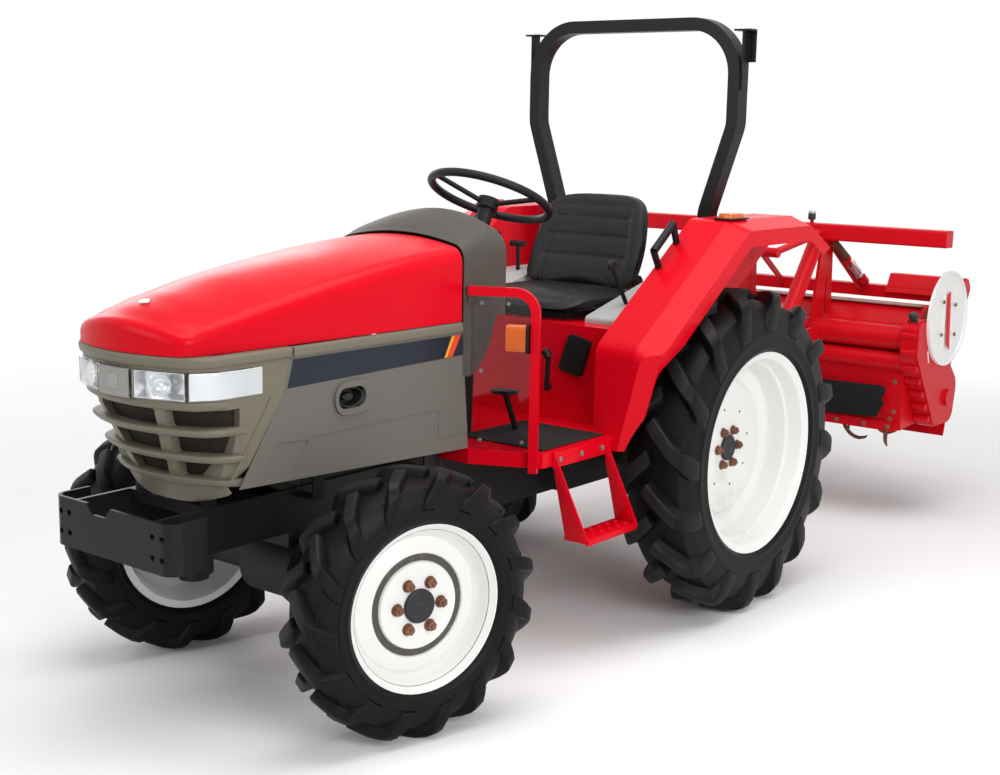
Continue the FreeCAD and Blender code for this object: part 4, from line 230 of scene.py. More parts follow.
def chosen(piece):
    """Selects one piece alone."""
    nothing_selected()
    piece.select_set(True)
    bpy.context.view_layer.objects.active = piece


def applied(piece, kind, **values):
    """Gives a piece a modifier with the values named, and applies it."""
    chosen(piece)
    modifier = piece.modifiers.new("shaping", kind)
    for key, value in values.items():
        setattr(modifier, key, value)
    bpy.ops.object.modifier_apply(modifier="shaping")


def joined(name, pieces):
    """Several pieces made one."""
    nothing_selected()
    for piece in pieces:
        piece.select_set(True)
    bpy.context.view_layer.objects.active = pieces[0]
    if len(pieces) > 1:
        bpy.ops.object.join()
    pieces[0].name = name
    return pieces[0]


def copied(piece, matrix, name=None):
    """A copy with its own mesh, moved by a matrix; a mirrored one is turned right side out."""
    twin = piece.copy()
    twin.data = piece.data.copy()
    twin.data.transform(matrix)
    if matrix.determinant() < 0:
        twin.data.flip_normals()
    bpy.context.scene.collection.objects.link(twin)
    if name:
        twin.name = name
    return twin


def settled(piece, body, material, smooth=35):
    """Fixes a finished piece: its place in its mesh, its finish, its smooth faces and its body."""
    chosen(piece)
    bpy.ops.object.transform_apply(location=True, rotation=True, scale=True)
    if smooth:
        bpy.ops.object.shade_smooth_by_angle(angle=math.radians(smooth))
    piece.data.materials.clear()
    piece.data.materials.append(material)
    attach(piece, body)
    return piece


STAIN_START, STAIN_FULL = 0.72, 0.80
SHEEN_SPREAD, COAT_ROUGHNESS = 0.07, 0.06


def finish_of(name, colour, roughness, grain=0.0, grain_size=60.0, spots=None, spot_share=0.0, spot_size=9.0,
              coat=0.0, metal=0.0, vary=0.06, edge=0.0, dust=None, dust_share=0.0, gloss=0.3):
    """A procedural finish: soft colour variation, dirt or rust spots, dust, softly rounded edges and a fine surface
    grain.
    """
    material, tree, shader = new_material(name)
    coords = add_node(tree, "ShaderNodeTexCoord")
    cloud = add_node(tree, "ShaderNodeTexNoise", Scale=6.0, Detail=5.0, Roughness=0.6)
    tone = add_node(tree, "ShaderNodeMix", data_type="RGBA",
                    A=(*[c * (1 - vary) for c in colour], 1), B=(*[min(1, c * (1 + vary)) for c in colour], 1))
    linked(tree, (coords, "Object", cloud, "Vector"), (cloud, "Fac", tone, "Factor"))
    last = tone
    for stain_colour, share, size in ((spots, spot_share, spot_size), (dust, dust_share, 3.0)):
        if not stain_colour:
            continue
        patch = add_node(tree, "ShaderNodeTexNoise", Scale=size, Detail=8.0, Roughness=0.7)
        limit = add_node(tree, "ShaderNodeMapRange",
                         **{"From Min": STAIN_START - share, "From Max": STAIN_FULL - share * 0.6})
        stain = add_node(tree, "ShaderNodeMix", data_type="RGBA", B=(*stain_colour, 1))
        linked(tree, (coords, "Object", patch, "Vector"), (patch, "Fac", limit, "Value"),
               (limit, "Result", stain, "Factor"), (last, "Result", stain, "A"))
        last = stain
    wear = add_node(tree, "ShaderNodeMapRange",
                    **{"To Min": max(0.02, roughness - SHEEN_SPREAD), "To Max": min(1.0, roughness + SHEEN_SPREAD)})
    linked(tree, (last, "Result", shader, "Base Color"), (cloud, "Fac", wear, "Value"),
           (wear, "Result", shader, "Roughness"))
    for socket, value in (("Metallic", metal), ("Specular IOR Level", 0.5 if metal else gloss),
                          ("Coat Weight", coat), ("Coat Roughness", COAT_ROUGHNESS)):
        shader.inputs[socket].default_value = value
    relief = None
    if edge:
        relief = add_node(tree, "ShaderNodeBevel", samples=4, Radius=edge)
    if grain:
        fine = add_node(tree, "ShaderNodeTexNoise", Scale=grain_size, Detail=4.0, Roughness=0.6)
        bump = add_node(tree, "ShaderNodeBump", Strength=grain, Distance=0.002)
        linked(tree, (coords, "Object", fine, "Vector"), (fine, "Fac", bump, "Height"))
        if relief:
            linked(tree, (relief, "Normal", bump, "Normal"))
        relief = bump
    if relief:
        linked(tree, (relief, "Normal", shader, "Normal"))
    return material


def worn_at(material, radius, colour, spread):
    """Rubs a finish toward a worn colour outside a radius from the piece's stored wheel axis."""
    tree = material.node_tree
    shader = tree.nodes["Principled BSDF"]
    before = shader.inputs["Base Color"].links[0].from_node
    wear = add_node(tree, "ShaderNodeAttribute", attribute_name="wear")
    limit = add_node(tree, "ShaderNodeMapRange", **{"From Min": radius, "From Max": radius + spread})
    mix = add_node(tree, "ShaderNodeMix", data_type="RGBA", B=(*colour, 1))
    linked(tree, (wear, "Fac", limit, "Value"), (limit, "Result", mix, "Factor"),
           (before, "Result", mix, "A"), (mix, "Result", shader, "Base Color"))


def between(points, q):
    """The (y, r) on a line of (q, y, r) points at a distance q."""
    for (q0, y0, r0), (q1, y1, r1) in zip(points, points[1:]):
        if q <= q1:
            share = (q - q0) / (q1 - q0)
            return y0 + (y1 - y0) * share, r0 + (r1 - r0) * share
    return points[-1][1:]


LUG_SLANT, WALL_SLANT = 42, 16
LUG_FOOT = -14
# Across a lug: sideways from its middle, how far up it stands and how far its foot spreads.
LUG_SECTION = [(-0.5, 0.0, 1.55), (-0.5, 0.35, 1.2), (-0.5, 0.9, 0.98), (-0.44, 1.0, 0.9),
               (0.44, 1.0, 0.9), (0.5, 0.9, 0.98), (0.5, 0.35, 1.2), (0.5, 0.0, 1.55)]


def lug_of(tip, tread, half, bead, lug_width):
    """One lug: it starts at the tread's middle, slants outward and runs down the shoulder."""
    wall = tread - bead
    top = [(LUG_FOOT, -14, tip), (half - 34, half - 34, tip - 1), (half - 12, half - 13, tip - 10),
           (half + 6, half - 4, tip - 24), (half + 34, half + 0.5, tip - 52),
           (half + 62, half + 1, bead + wall * 0.62), (half + 78, half, bead + wall * 0.5)]
    foot = [(LUG_FOOT, -14, tread - 8), (half - 34, half - 40, tread - 12), (half - 12, half - 26, tread - 18),
            (half + 6, half - 20, tread - 26), (half + 34, half - 15, bead + wall * 0.72),
            (half + 62, half - 12, bead + wall * 0.58), (half + 78, half - 9, bead + wall * 0.46)]
    stations = [-9, -9, -4, half * 0.2, half * 0.42, half * 0.64, half - 30, half - 14,
                half + 2, half + 20, half + 42, half + 62, half + 76, half + 76]
    rows = []
    for number, q in enumerate(stations):
        on_wall = max(0.0, min(1.0, (q - half + 30) / 60))
        slant = math.radians(LUG_SLANT - (LUG_SLANT - WALL_SLANT) * on_wall)
        wide = lug_width * (1 + 0.42 * on_wall)
        drift = math.tan(math.radians(LUG_SLANT)) * min(q, half - 20) + max(0.0, q - half + 20) * 0.32
        at_end = number in (0, len(stations) - 1)
        row = []
        for sideways, lift, spread in LUG_SECTION:
            lift = 0.0 if at_end else lift
            step = sideways * wide * spread
            place = max(LUG_FOOT, q - step * math.sin(slant) * (1 - on_wall))
            y_top, r_top = between(top, place)
            y_foot, r_foot = between(foot, place)
            y = y_foot + (y_top - y_foot) * lift
            r = r_foot + (r_top - r_foot) * lift
            turn = (drift + step * math.cos(slant)) / max(r, tread * 0.9)
            row.append((r * math.sin(turn) / 1000, y / 1000, r * math.cos(turn) / 1000))
        rows.append(row)
    lug = laid("lug", rows)
    bpy.ops.object.mode_set(mode="EDIT")
    bpy.ops.mesh.select_all(action="DESELECT")
    bpy.ops.mesh.select_non_manifold()
    bpy.ops.mesh.fill_grid(span=len(LUG_SECTION) - 1)
    closed_up()
    applied(lug, "BEVEL", width=0.0022, segments=2, limit_method="ANGLE", angle_limit=math.radians(32))
    return lug


def lugged_tyre(name, tip, tread, width, bead, flange, seat, lugs, lug_width):
    """A tyre about the Y axis: radii at lug tips, tread, bead and flange, its width and half width at the rim."""
    half = width / 2
    wall = tread - bead
    side = [
        (seat - 8, bead + 1), (seat - 5, bead + 9), (seat - 4, flange - 8), (seat + 9, flange + 2),
        (seat + 17, flange + 14), (half - 5, bead + wall * 0.32), (half - 1, bead + wall * 0.42),
        (half - 1, bead + wall * 0.47), (half - 4, bead + wall * 0.5), (half - 6, bead + wall * 0.64),
        (half - 12, bead + wall * 0.78), (half - 24, tread - 10), (half - 42, tread - 3), (half - 66, tread + 2),
    ]
    profile = [(-y, r) for y, r in side] + [(0, tread + 4)] + side[::-1]
    tyre = spun(name, profile + [profile[0]], steps=128)
    lug = lug_of(tip, tread, half, bead, lug_width)
    parts = [tyre]
    for i in range(lugs):
        for word, hand in (("left", 1), ("right", -1)):
            turn = Matrix.Rotation(math.radians((i + 0.25 * hand) * 360 / lugs), 4, "Y")
            parts.append(copied(lug, turn @ SIDE_Y[word]))
    bpy.data.objects.remove(lug)
    return joined(name, parts)


def wear_stored(tyre):
    """Stores each corner's distance from the wheel's axis, for the wear on the lugs' tops."""
    layer = tyre.data.attributes.new("wear", "FLOAT", "POINT")
    for i, corner in enumerate(tyre.data.vertices):
        layer.data[i].value = math.hypot(corner.co.x, corner.co.z)


WHEELBASE = 1468
REAR_HALF_TRACK, KINGPIN_Y, HUB_REACH = 557, 403, 0.083
FRONT_TURN = Matrix.Rotation(math.radians(-15), 4, "Z")
wheel_places = {}
for word, side in (("left", 1), ("right", -1)):
    wheel_places["rear", word] = Matrix.Translation(spot(0, REAR_HALF_TRACK * side, 527)) @ SIDE_Y[word]
    pin = Matrix.Translation(spot(WHEELBASE, KINGPIN_Y * side, 354)) @ FRONT_TURN
    wheel_places["front", word] = pin @ Matrix.Translation((0, HUB_REACH * side, 0)) @ SIDE_Y[word]

LUG_WORN = 12
for which, sizes in (
    ("rear", {"tip": 526.7, "tread": 489, "width": 234, "bead": 306, "flange": 331, "seat": 97,
              "lugs": 16, "lug_width": 45}),
    ("front", {"tip": 353.7, "tread": 326, "width": 178, "bead": 203, "flange": 222, "seat": 69,
               "lugs": 15, "lug_width": 31}),
):
    pattern = lugged_tyre(which + "_tyre_pattern", **sizes)
    wear_stored(pattern)
    rubber = finish_of(which + "_tyre_rubber", (0.0036, 0.0037, 0.0040), 0.46, grain=0.22, grain_size=160,
                       spots=(0.022, 0.021, 0.02), spot_share=0.02, vary=0.25,
                       dust=(0.014, 0.0135, 0.013), dust_share=0.08, gloss=0.13)
    worn_at(rubber, (sizes["tip"] - LUG_WORN) / 1000, (0.015, 0.015, 0.015), 0.010)
    for word in SIDES:
        tyre = copied(pattern, wheel_places[which, word], "%s_%s_lugged_tyre" % (which, word))
        settled(tyre, "%s_wheel_%s" % (which, word), rubber, smooth=32)
        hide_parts("%s_tyre_%s" % (which, word))
    bpy.data.objects.remove(pattern)

# ------------------------------------------------------------------ wheel rims
# Pressed steel rims and discs in white enamel, each held by six nuts that have rusted, with a
# black cap on the hub; the front disc has a dark band round its face.

def hex_nut(name, reach, height, stud):
    """A nut on its washer and stud, standing up along Y from the origin, in millimetres."""
    nothing_selected()
    bpy.ops.mesh.primitive_cylinder_add(vertices=6, radius=reach / 1000, depth=height / 1000,
                                        rotation=(math.pi / 2, 0, 0), location=(0, height / 2000, 0))
    nut = bpy.context.object
    bpy.ops.object.transform_apply(location=True, rotation=True, scale=True)
    applied(nut, "BEVEL", width=reach * 0.12 / 1000, segments=2)
    washer = spun(name + "_washer", [(0.5, 0), (0.5, reach * 1.22), (3, reach * 1.18), (3, 0)], steps=24)
    pin = spun(name + "_stud", [(height * 0.9, 0), (height * 0.9, stud), (height * 1.22, stud),
                                (height * 1.32, stud * 0.8), (height * 1.32, 0)], steps=20)
    return joined(name, [nut, washer, pin])


white_enamel = finish_of("white_enamel", (0.80, 0.80, 0.78), 0.35, grain=0.03, grain_size=120, coat=0.3, vary=0.03,
                         edge=0.0015, spots=(0.42, 0.38, 0.33), dust=(0.68, 0.66, 0.62), dust_share=0.12)
nut_rust = finish_of("nut_rust", (0.17, 0.07, 0.045), 0.7, grain=0.6, grain_size=420, spots=(0.30, 0.13, 0.07),
                     spot_share=0.25, spot_size=60, vary=0.3)
cap_black = finish_of("cap_black", (0.02, 0.021, 0.023), 0.5, grain=0.3, grain_size=200, vary=0.25,
                      spots=(0.06, 0.06, 0.06), spot_share=0.08, spot_size=20)
band_grey = finish_of("band_grey", (0.075, 0.07, 0.066), 0.6, grain=0.4, grain_size=260, vary=0.25,
                      spots=(0.16, 0.13, 0.11), spot_share=0.15, spot_size=26)

front_profile = [
    (38, 40), (38, 108), (37, 113), (34, 115.5), (29, 116.5), (27, 119), (27, 131), (29, 135), (33, 136.5), (35, 139),
    (34, 146), (29, 158), (24, 170), (21, 178), (18, 180), (18, 181.4), (21, 183), (24, 187), (32, 192), (44, 197),
    (56, 201), (64, 207), (70, 214), (75, 218), (76, 221), (74, 223), (70.5, 221), (68, 215), (64, 210), (50, 205),
    (20, 200), (-20, 198), (-44, 202), (-60, 203), (-70, 205), (-72, 216), (-74, 222), (-76, 220), (-74, 200),
    (-60, 196), (-40, 190), (0, 182), (12, 176), (18, 166), (24, 150), (27, 140), (22, 134), (20, 118), (28, 106),
    (31, 40),
]
rear_profile = [
    (-20, 40), (-20, 206), (-22, 214), (-28, 222), (-38, 229), (-44, 233), (-44, 240), (-38, 247), (-30, 262),
    (-24, 278), (-10, 284), (24, 286), (38, 289), (44, 297), (56, 301), (82, 303), (92, 306), (98, 314), (100, 324),
    (103, 329), (104, 331), (101, 333), (97.5, 330), (95, 318), (88, 309), (70, 306), (50, 305), (36, 300), (26, 292),
    (-10, 291), (-40, 296), (-60, 304), (-90, 306), (-96, 318), (-99, 330), (-102, 332), (-104, 330), (-101, 312),
    (-92, 300), (-60, 297), (-44, 288), (-50, 262), (-52, 240), (-50, 228), (-36, 214), (-27, 204), (-27, 40),
]
# The dark band round the front disc, and dark discs of painted shade that stand for the rear one's holes.
disc_band = spun("disc_band_pattern", [(29.6, 116.6), (27.6, 119.6), (27.6, 130.6), (29.6, 134.6), (26.5, 133),
                                       (26.5, 118), (29.6, 116.6)], steps=96)
# Each hole is a dark disc of painted shade laid on the rear disc's face, not an opening.
REAR_FACE, HOLE_CIRCLE, HOLES = -20, 0.132, 8
hole = spun("hole", [(REAR_FACE - 0.4, 0), (REAR_FACE + 0.35, 0.01), (REAR_FACE + 0.35, 4.2), (REAR_FACE - 0.4, 4.6)],
            steps=14)
painted_hole_shade = joined("disc_holes_pattern", [
    copied(hole, Matrix.Rotation(math.radians(360 / HOLES * i + 12), 4, "Y") @ Matrix.Translation((0, 0, HOLE_CIRCLE)))
    for i in range(HOLES)])
bpy.data.objects.remove(hole)
NUT_REACH, NUT_HEIGHT, STUD_REACH, NUTS = 13.5, 17.5, 6, 6
# Each wheel's disc face, its circle of nuts, the radius of its cap and its own marks; the rear wheel's marks are the
# painted shade of its holes.
for which, profile, face, circle, cap_radius, marks in (
    ("rear", rear_profile, REAR_FACE, 62, 44, (painted_hole_shade, cap_black, "casting", "painted_hole_shade")),
    ("front", front_profile, 38, 66, 46, (disc_band, band_grey, "steel", "disc_band")),
):
    rim = spun(which + "_rim_pattern", profile + [profile[0]], steps=112)
    nut = hex_nut("nut", NUT_REACH, NUT_HEIGHT, STUD_REACH)
    on_circle = Matrix.Translation((0, face / 1000, circle / 1000))
    nuts = joined(which + "_nuts_pattern", [
        copied(nut, Matrix.Rotation(math.radians(360 / NUTS * i + 30), 4, "Y") @ on_circle
               @ Matrix.Rotation(0.4 * i, 4, "Y")) for i in range(NUTS)])
    bpy.data.objects.remove(nut)
    cap = spun(which + "_cap_pattern", [
        (face - 8, 0), (face - 8, cap_radius - 1), (face + 6, cap_radius - 1), (face + 9, cap_radius - 4),
        (face + 10, cap_radius - 12), (face + 8, cap_radius - 16), (face + 9, 8), (face + 11, 5), (face + 11, 0),
    ], steps=48)
    extras = [(nuts, nut_rust, "rust", "nuts"), (cap, cap_black, "casting", "hub_cap"), marks]
    for word in SIDES:
        move = wheel_places[which, word]
        body = "%s_wheel_%s" % (which, word)
        dish = copied(rim, move, "%s_%s_dished_rim" % (which, word))
        settled(dish, body, white_enamel, smooth=30)
        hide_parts("%s_rim_%s" % (which, word))
        for pattern, finish, paint, title in extras:
            settled(copied(pattern, move, "%s_%s_%s" % (which, word, title)), body, finish, smooth=40)
    for pattern in [rim] + [extra[0] for extra in extras]:
        bpy.data.objects.remove(pattern)

# ------------------------------------------------------------------ bonnet
# One pressed steel sheet in red enamel, hinged at its back: a broad dome whose shoulders sharpen
# toward the nose, which rolls down all round to a straight lower edge. A plain badge sits on top.

def eased(stations, x):
    """Values at x on smooth lines through a table of stations ordered along x."""
    last = len(stations) - 1
    for i in range(last):
        a, b = stations[i], stations[i + 1]
        if (x - a[0]) * (x - b[0]) <= 0:
            break
    before, after = stations[max(i - 1, 0)], stations[min(i + 2, last)]
    t = (x - a[0]) / (b[0] - a[0])
    values = []
    for p0, p1, p2, p3 in zip(before[1:], a[1:], b[1:], after[1:]):
        values.append(p1 + 0.5 * t * (p2 - p0 + t * (2 * p0 - 5 * p1 + 4 * p2 - p3 + t * (3 * (p1 - p2) + p3 - p0))))
    return values


def arch_row(half, shoulder, crown, radius, low):
    """An arched section, left foot to right: (y, z) points up the side, round the shoulder and over."""
    points = [(half, low + (shoulder - radius - low) * i / 6) for i in range(6)]
    for i in range(7):
        turn = math.radians(i * 80 / 6)
        points.append((half - radius * (1 - math.cos(turn)), shoulder - radius + radius * 1.12 * math.sin(turn)))
    y0, z0 = points[-1]
    rise = crown - z0
    for i in range(1, 11):
        y = y0 * (1 - i / 10)
        points.append((y, z0 + rise * (1 - (y / y0) ** 2)))
    return points + [(-y, z) for y, z in points[-2::-1]]


def skin(name, rows):
    """A sheet laid through rows of points, each given in millimetres forward, left and up."""
    return laid(name, [[spot(*point) for point in row] for row in rows])


SHEET_DOUBLES = 0.0002


def walled(sheet, wall):
    """Gives a sheet its thickness inward, in millimetres."""
    chosen(sheet)
    bpy.ops.object.mode_set(mode="EDIT")
    bpy.ops.mesh.select_all(action="SELECT")
    bpy.ops.mesh.remove_doubles(threshold=SHEET_DOUBLES)
    closed_up()
    applied(sheet, "SOLIDIFY", thickness=wall / 1000, offset=-1)
    return sheet


BONNET_BACK, BONNET_NOSE = 1022, 2004
bonnet_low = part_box("bonnet")[0][2] * 1000 + 1.2
# Along the bonnet: half width, shoulder height, crown height and shoulder radius.
bonnet_stations = [
    (1022, 247, 1220, 1247, 42), (1250, 245, 1202, 1231, 44), (1480, 240, 1170, 1208, 46), (1700, 232, 1130, 1178, 44),
    (1880, 222, 1092, 1138, 30), (1960, 215, 1074, 1114, 24), (2006, 210, 1062, 1094, 20),
]
SWEEP, SWEEP_START, SWEEP_END = 52, 1690, 2000


def nose_sweep(x, y):
    """How far the nose's bow carries a point back at a distance from the middle."""
    share = max(0.0, min(1.0, (x - SWEEP_START) / (SWEEP_END - SWEEP_START)))
    return SWEEP * share ** 2.2 * (abs(y) / 212) ** 2.1


rows = []
for i in range(41):
    x = BONNET_BACK + (BONNET_NOSE - BONNET_BACK) * (1 - (1 - i / 40) ** 1.15)
    rows.append([(x - nose_sweep(x, y), y, z) for y, z in arch_row(*eased(bonnet_stations, x), bonnet_low)])
half, shoulder, crown, radius = eased(bonnet_stations, BONNET_NOSE)
for inset, forward in ((1.5, 7), (5, 14), (10, 19.5), (16, 23.5), (22, 25.6), (28, 26.2)):
    row = arch_row(half - inset, shoulder - inset, crown - inset, max(radius - inset * 0.8, 4), bonnet_low)
    rows.append([(BONNET_NOSE + forward - nose_sweep(BONNET_NOSE, y), y, z) for y, z in row])
for share in (0.66, 0.5, 0.0):
    rows.append([(x, y, bonnet_low + (z - bonnet_low) * share) for x, y, z in rows[-1]])
hood = walled(skin("bonnet_sheet", rows), 4)
red_enamel = finish_of("red_enamel", (0.68, 0.0018, 0.012), 0.27, grain=0.012, grain_size=90, vary=0.02, gloss=0.10,
                       spots=(0.60, 0.05, 0.05), spot_share=0.02, spot_size=70)
settled(hood, "bonnet", red_enamel, smooth=38)
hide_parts("bonnet")

badge = spun("bonnet_badge", [(0, 17), (1.6, 16.6), (2.6, 14.5), (2.0, 13), (2.2, 9), (2.8, 0)], steps=48)
badge.data.transform(Matrix.Translation(spot(1934, 0, 1125.2)) @ Matrix.Rotation(math.radians(-74), 4, "Y")
                     @ Matrix.Diagonal((1, 1, 0.72, 1)) @ Matrix.Rotation(math.radians(-90), 4, "Z"))
silver = finish_of("badge_silver", (0.75, 0.75, 0.77), 0.28, metal=0.9, grain=0.02, vary=0.03)
settled(badge, "bonnet", silver, smooth=30)

# ------------------------------------------------------------------ cowl
# A grey plastic hood behind the bonnet that carries the dash: an arch a little prouder than the
# bonnet, rounded to its rear face, with skirts down both sides and a round-dialled panel inside.

COWL_BACK, COWL_FRONT = 812, 1014
# Along the cowl: half width, shoulder, crown, shoulder radius and the foot of its skirt.
cowl_stations = [
    (800, 231, 1246, 1296, 62, 1013), (812, 235, 1256, 1306, 64, 1013), (830, 240, 1266, 1314, 66, 1013),
    (860, 243, 1269, 1316, 66, 1010), (905, 245, 1265, 1309, 60, 915), (950, 247, 1253, 1293, 52, 868),
    (985, 247, 1240, 1274, 46, 852), (1014, 247, 1227, 1256, 42, 856),
]
rows = []
for i in range(24):
    x = COWL_FRONT - (COWL_FRONT - COWL_BACK) * i / 23
    rows.append([(x, y, z) for y, z in arch_row(*eased(cowl_stations, x))])
half, shoulder, crown, radius, low = eased(cowl_stations, COWL_BACK)
height = crown - low
for inset, back in ((2, 5), (6, 9), (12, 11.4), (20, 12), (34, 12), (42, 8), (60, 2), (150, 0), (height, 0)):
    rows.append([(COWL_BACK - back, y * (half - inset) / half, low + (z - low) * (1 - inset / height))
                 for y, z in arch_row(half, shoulder, crown, radius, low)])
cowl_shell = walled(skin("cowl_shell", rows), 3)
grey_moulding = finish_of("grey_moulding", (0.074, 0.067, 0.058), 0.5, grain=0.12, grain_size=420, vary=0.05,
                          gloss=0.22, dust=(0.105, 0.098, 0.088), dust_share=0.08)
settled(cowl_shell, "chassis", grey_moulding, smooth=40)
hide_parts("cowl")

dial_black = finish_of("dial_black", (0.012, 0.012, 0.013), 0.25, vary=0.1)
dial_white = finish_of("dial_white", (0.75, 0.75, 0.73), 0.4, vary=0.03)
DIAL_X, DIAL_Z = 806, 1228
TICKS, FIRST_TICK, TICK_STEP = 11, -120, 24
dials = []
ticks = []
for y, size in ((-58, 36), (30, 44), (112, 26)):
    face = spun("dash_dial", [(-2, 0), (-2, size), (0.5, size + 2), (6, size + 2), (6, size + 6), (-3, size + 7)],
                steps=48)
    face.data.transform(Matrix.Translation(spot(DIAL_X, y, DIAL_Z)) @ Matrix.Rotation(math.radians(90), 4, "Z"))
    dials.append(face)
    for k in range(TICKS):
        nothing_selected()
        bpy.ops.mesh.primitive_cube_add(size=1)
        tick = bpy.context.object
        turn = Matrix.Rotation(math.radians(FIRST_TICK + TICK_STEP * k), 4, "X")
        tick.data.transform(
            Matrix.Translation(spot(DIAL_X + 0.6, y, DIAL_Z)) @ turn
            @ Matrix.Translation((0, 0, size * 0.00084)) @ Matrix.Diagonal((0.001, 0.0016, size * 0.0002, 1)))
        ticks.append(tick)
settled(joined("dash_dials", dials), "chassis", dial_black, smooth=35)
settled(joined("dash_dial_marks", ticks), "chassis", dial_white, smooth=0)

# ------------------------------------------------------------------ headlamps
# Under the bonnet's lip, two clear lamps with fluted glass over silver trays and bowls are let into
# the grille beside a plain grey middle box; a ribbed clear lens carries each one round its corner.

LAMP_LOW, LAMP_HIGH = 907, 973
NOSE_X, NOSE_BOW = 2034, 417


def lamp_front(y):
    """The front of the lamps at a distance from the middle."""
    return NOSE_X - NOSE_BOW + math.sqrt(NOSE_BOW ** 2 - y * y)


def ribbon(name, plan, low, high, wall):
    """A band standing on a line of (x, y) points, with a wall."""
    band = drawn_line(name, [spot(x, y, low) for x, y in plan])
    bpy.ops.mesh.extrude_region_move(TRANSFORM_OT_translate={"value": (0, 0, (high - low) / 1000)})
    bpy.ops.object.mode_set(mode="OBJECT")
    return walled(band, wall)


def both_sides(pattern, title, finish, smooth=35, replaced=None):
    """Fixes a piece made for the left side to the chassis, and its mirror image on the right."""
    for word in SIDES:
        piece = copied(pattern, SIDE_Y[word], word + "_" + title)
        settled(piece, "chassis", finish, smooth=smooth)
        if replaced:
            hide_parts(replaced)
    bpy.data.objects.remove(pattern)


def fluted(path, pitch, depth):
    """A line of (x, y) points with small flutes along it."""
    points = []
    for (x0, y0), (x1, y1) in zip(path, path[1:]):
        run = math.hypot(x1 - x0, y1 - y0)
        count = max(2, round(run / pitch) * 2)
        for i in range(count):
            lift = depth if i % 2 else 0
            share = i / count
            points.append((x0 + (x1 - x0) * share + (y1 - y0) / run * lift,
                           y0 + (y1 - y0) * share + (x0 - x1) / run * lift))
    return points + [path[-1]]


def hazed(tree, shader, size, detail, low, high):
    """Varies a clear material's roughness between two values with soft noise."""
    coords = add_node(tree, "ShaderNodeTexCoord")
    haze = add_node(tree, "ShaderNodeTexNoise", Scale=size, Detail=detail)
    clarity = add_node(tree, "ShaderNodeMapRange", **{"To Min": low, "To Max": high})
    linked(tree, (coords, "Object", haze, "Vector"), (haze, "Fac", clarity, "Value"),
           (clarity, "Result", shader, "Roughness"))


glass, tree, shader = new_material("lamp_glass")
shader.inputs["Base Color"].default_value = (0.96, 0.97, 0.98, 1)
shader.inputs["Transmission Weight"].default_value = 0.92
shader.inputs["IOR"].default_value = 1.32
hazed(tree, shader, 40.0, 3.0, 0.04, 0.14)
mirror_silver = finish_of("reflector_silver", (0.86, 0.87, 0.88), 0.16, metal=0.85, vary=0.03,
                          grain=0.05, grain_size=60)
lamp_grey = finish_of("lamp_box_grey", (0.34, 0.335, 0.32), 0.35, grain=0.03, vary=0.03, gloss=0.4)

FLUTE_PITCH, FLUTE_DEPTH = 8, 0.7
arc = [(lamp_front(y), y) for y in range(67, 204, 8)]
front_glass = ribbon("left_lamp_glass", fluted(arc, FLUTE_PITCH, FLUTE_DEPTH), LAMP_LOW, LAMP_HIGH, 2.5)

CORNER_X = 1920
RIB_PITCH, RIB_DEPTH = 4.3, 0.8
side_path = [(1977, 212), (1962, 222), (1940, 236), (1918, 247), (1880, 248.6), (1790, 249.4), (1776, 249.0),
             (1773, 246.5)]
rows = []
z = LAMP_LOW
while z <= LAMP_HIGH - 4:
    for step, lift in ((0.0, 0.0), (0.35, RIB_DEPTH), (0.65, RIB_DEPTH)):
        rows.append([(x, y + lift, z + RIB_PITCH * step) if x < CORNER_X
                     else (x + lift * 0.8, y + lift * 0.6, z + RIB_PITCH * step) for x, y in side_path])
    z += RIB_PITCH
side_glass = walled(skin("left_side_lens", rows), 1.2)
side_back = ribbon("left_side_reflector", [(1970, 208), (1914, 240), (1840, 246.6), (1775, 246.4)],
                   LAMP_LOW, LAMP_HIGH, 0.8)

LAMP_TURN = math.radians(18.5)
TRAY_SIZE = (0.044, 0.139, 0.066, 1)
lamp_middle = Matrix.Translation(spot(2005.5, 135, 940)) @ Matrix.Rotation(LAMP_TURN, 4, "Z")
nothing_selected()
bpy.ops.mesh.primitive_cube_add(size=1)
tray = bpy.context.object
tray.data.transform(lamp_middle @ Matrix.Translation((-0.029, 0, 0)) @ Matrix.Diagonal(TRAY_SIZE))
bpy.ops.object.mode_set(mode="EDIT")
bpy.ops.mesh.select_all(action="DESELECT")
bpy.context.tool_settings.mesh_select_mode = (False, False, True)
bpy.ops.object.mode_set(mode="OBJECT")
front_way = Vector((math.cos(LAMP_TURN), math.sin(LAMP_TURN), 0))
for face in tray.data.polygons:
    face.select = face.normal.dot(front_way) > 0.9
bpy.ops.object.mode_set(mode="EDIT")
bpy.ops.mesh.inset(thickness=0.0015)
bpy.ops.mesh.extrude_region_move(TRANSFORM_OT_translate={"value": -front_way * 0.036})
bpy.ops.transform.resize(value=(1, 0.86, 0.8))
bpy.context.tool_settings.mesh_select_mode = (True, False, False)
bpy.ops.object.mode_set(mode="OBJECT")
bowl = spun("bowl", [(-32, 5), (-30, 12), (-25, 19), (-17, 25.5), (-8, 30), (-7, 32), (-9, 32), (-18, 28), (-33, 12),
                     (-34, 5)], steps=48)
bulb = spun("bulb", [(-34, 0), (-34, 5), (-20, 5), (-18, 7), (-12, 7), (-9, 4), (-8, 0)], steps=24)
for piece in (bowl, bulb):
    piece.data.transform(lamp_middle @ Matrix.Rotation(math.radians(-90), 4, "Z"))
reflector = joined("left_lamp_reflector", [tray, bowl, bulb])

for pattern, finish, paint, title in (
    (front_glass, glass, "lens", "lamp_glass"), (side_glass, glass, "lens", "side_lens"),
    (side_back, mirror_silver, "steel", "side_reflector"), (reflector, mirror_silver, "steel", "lamp_reflector"),
):
    both_sides(pattern, title, finish, smooth=25, replaced="headlamps")

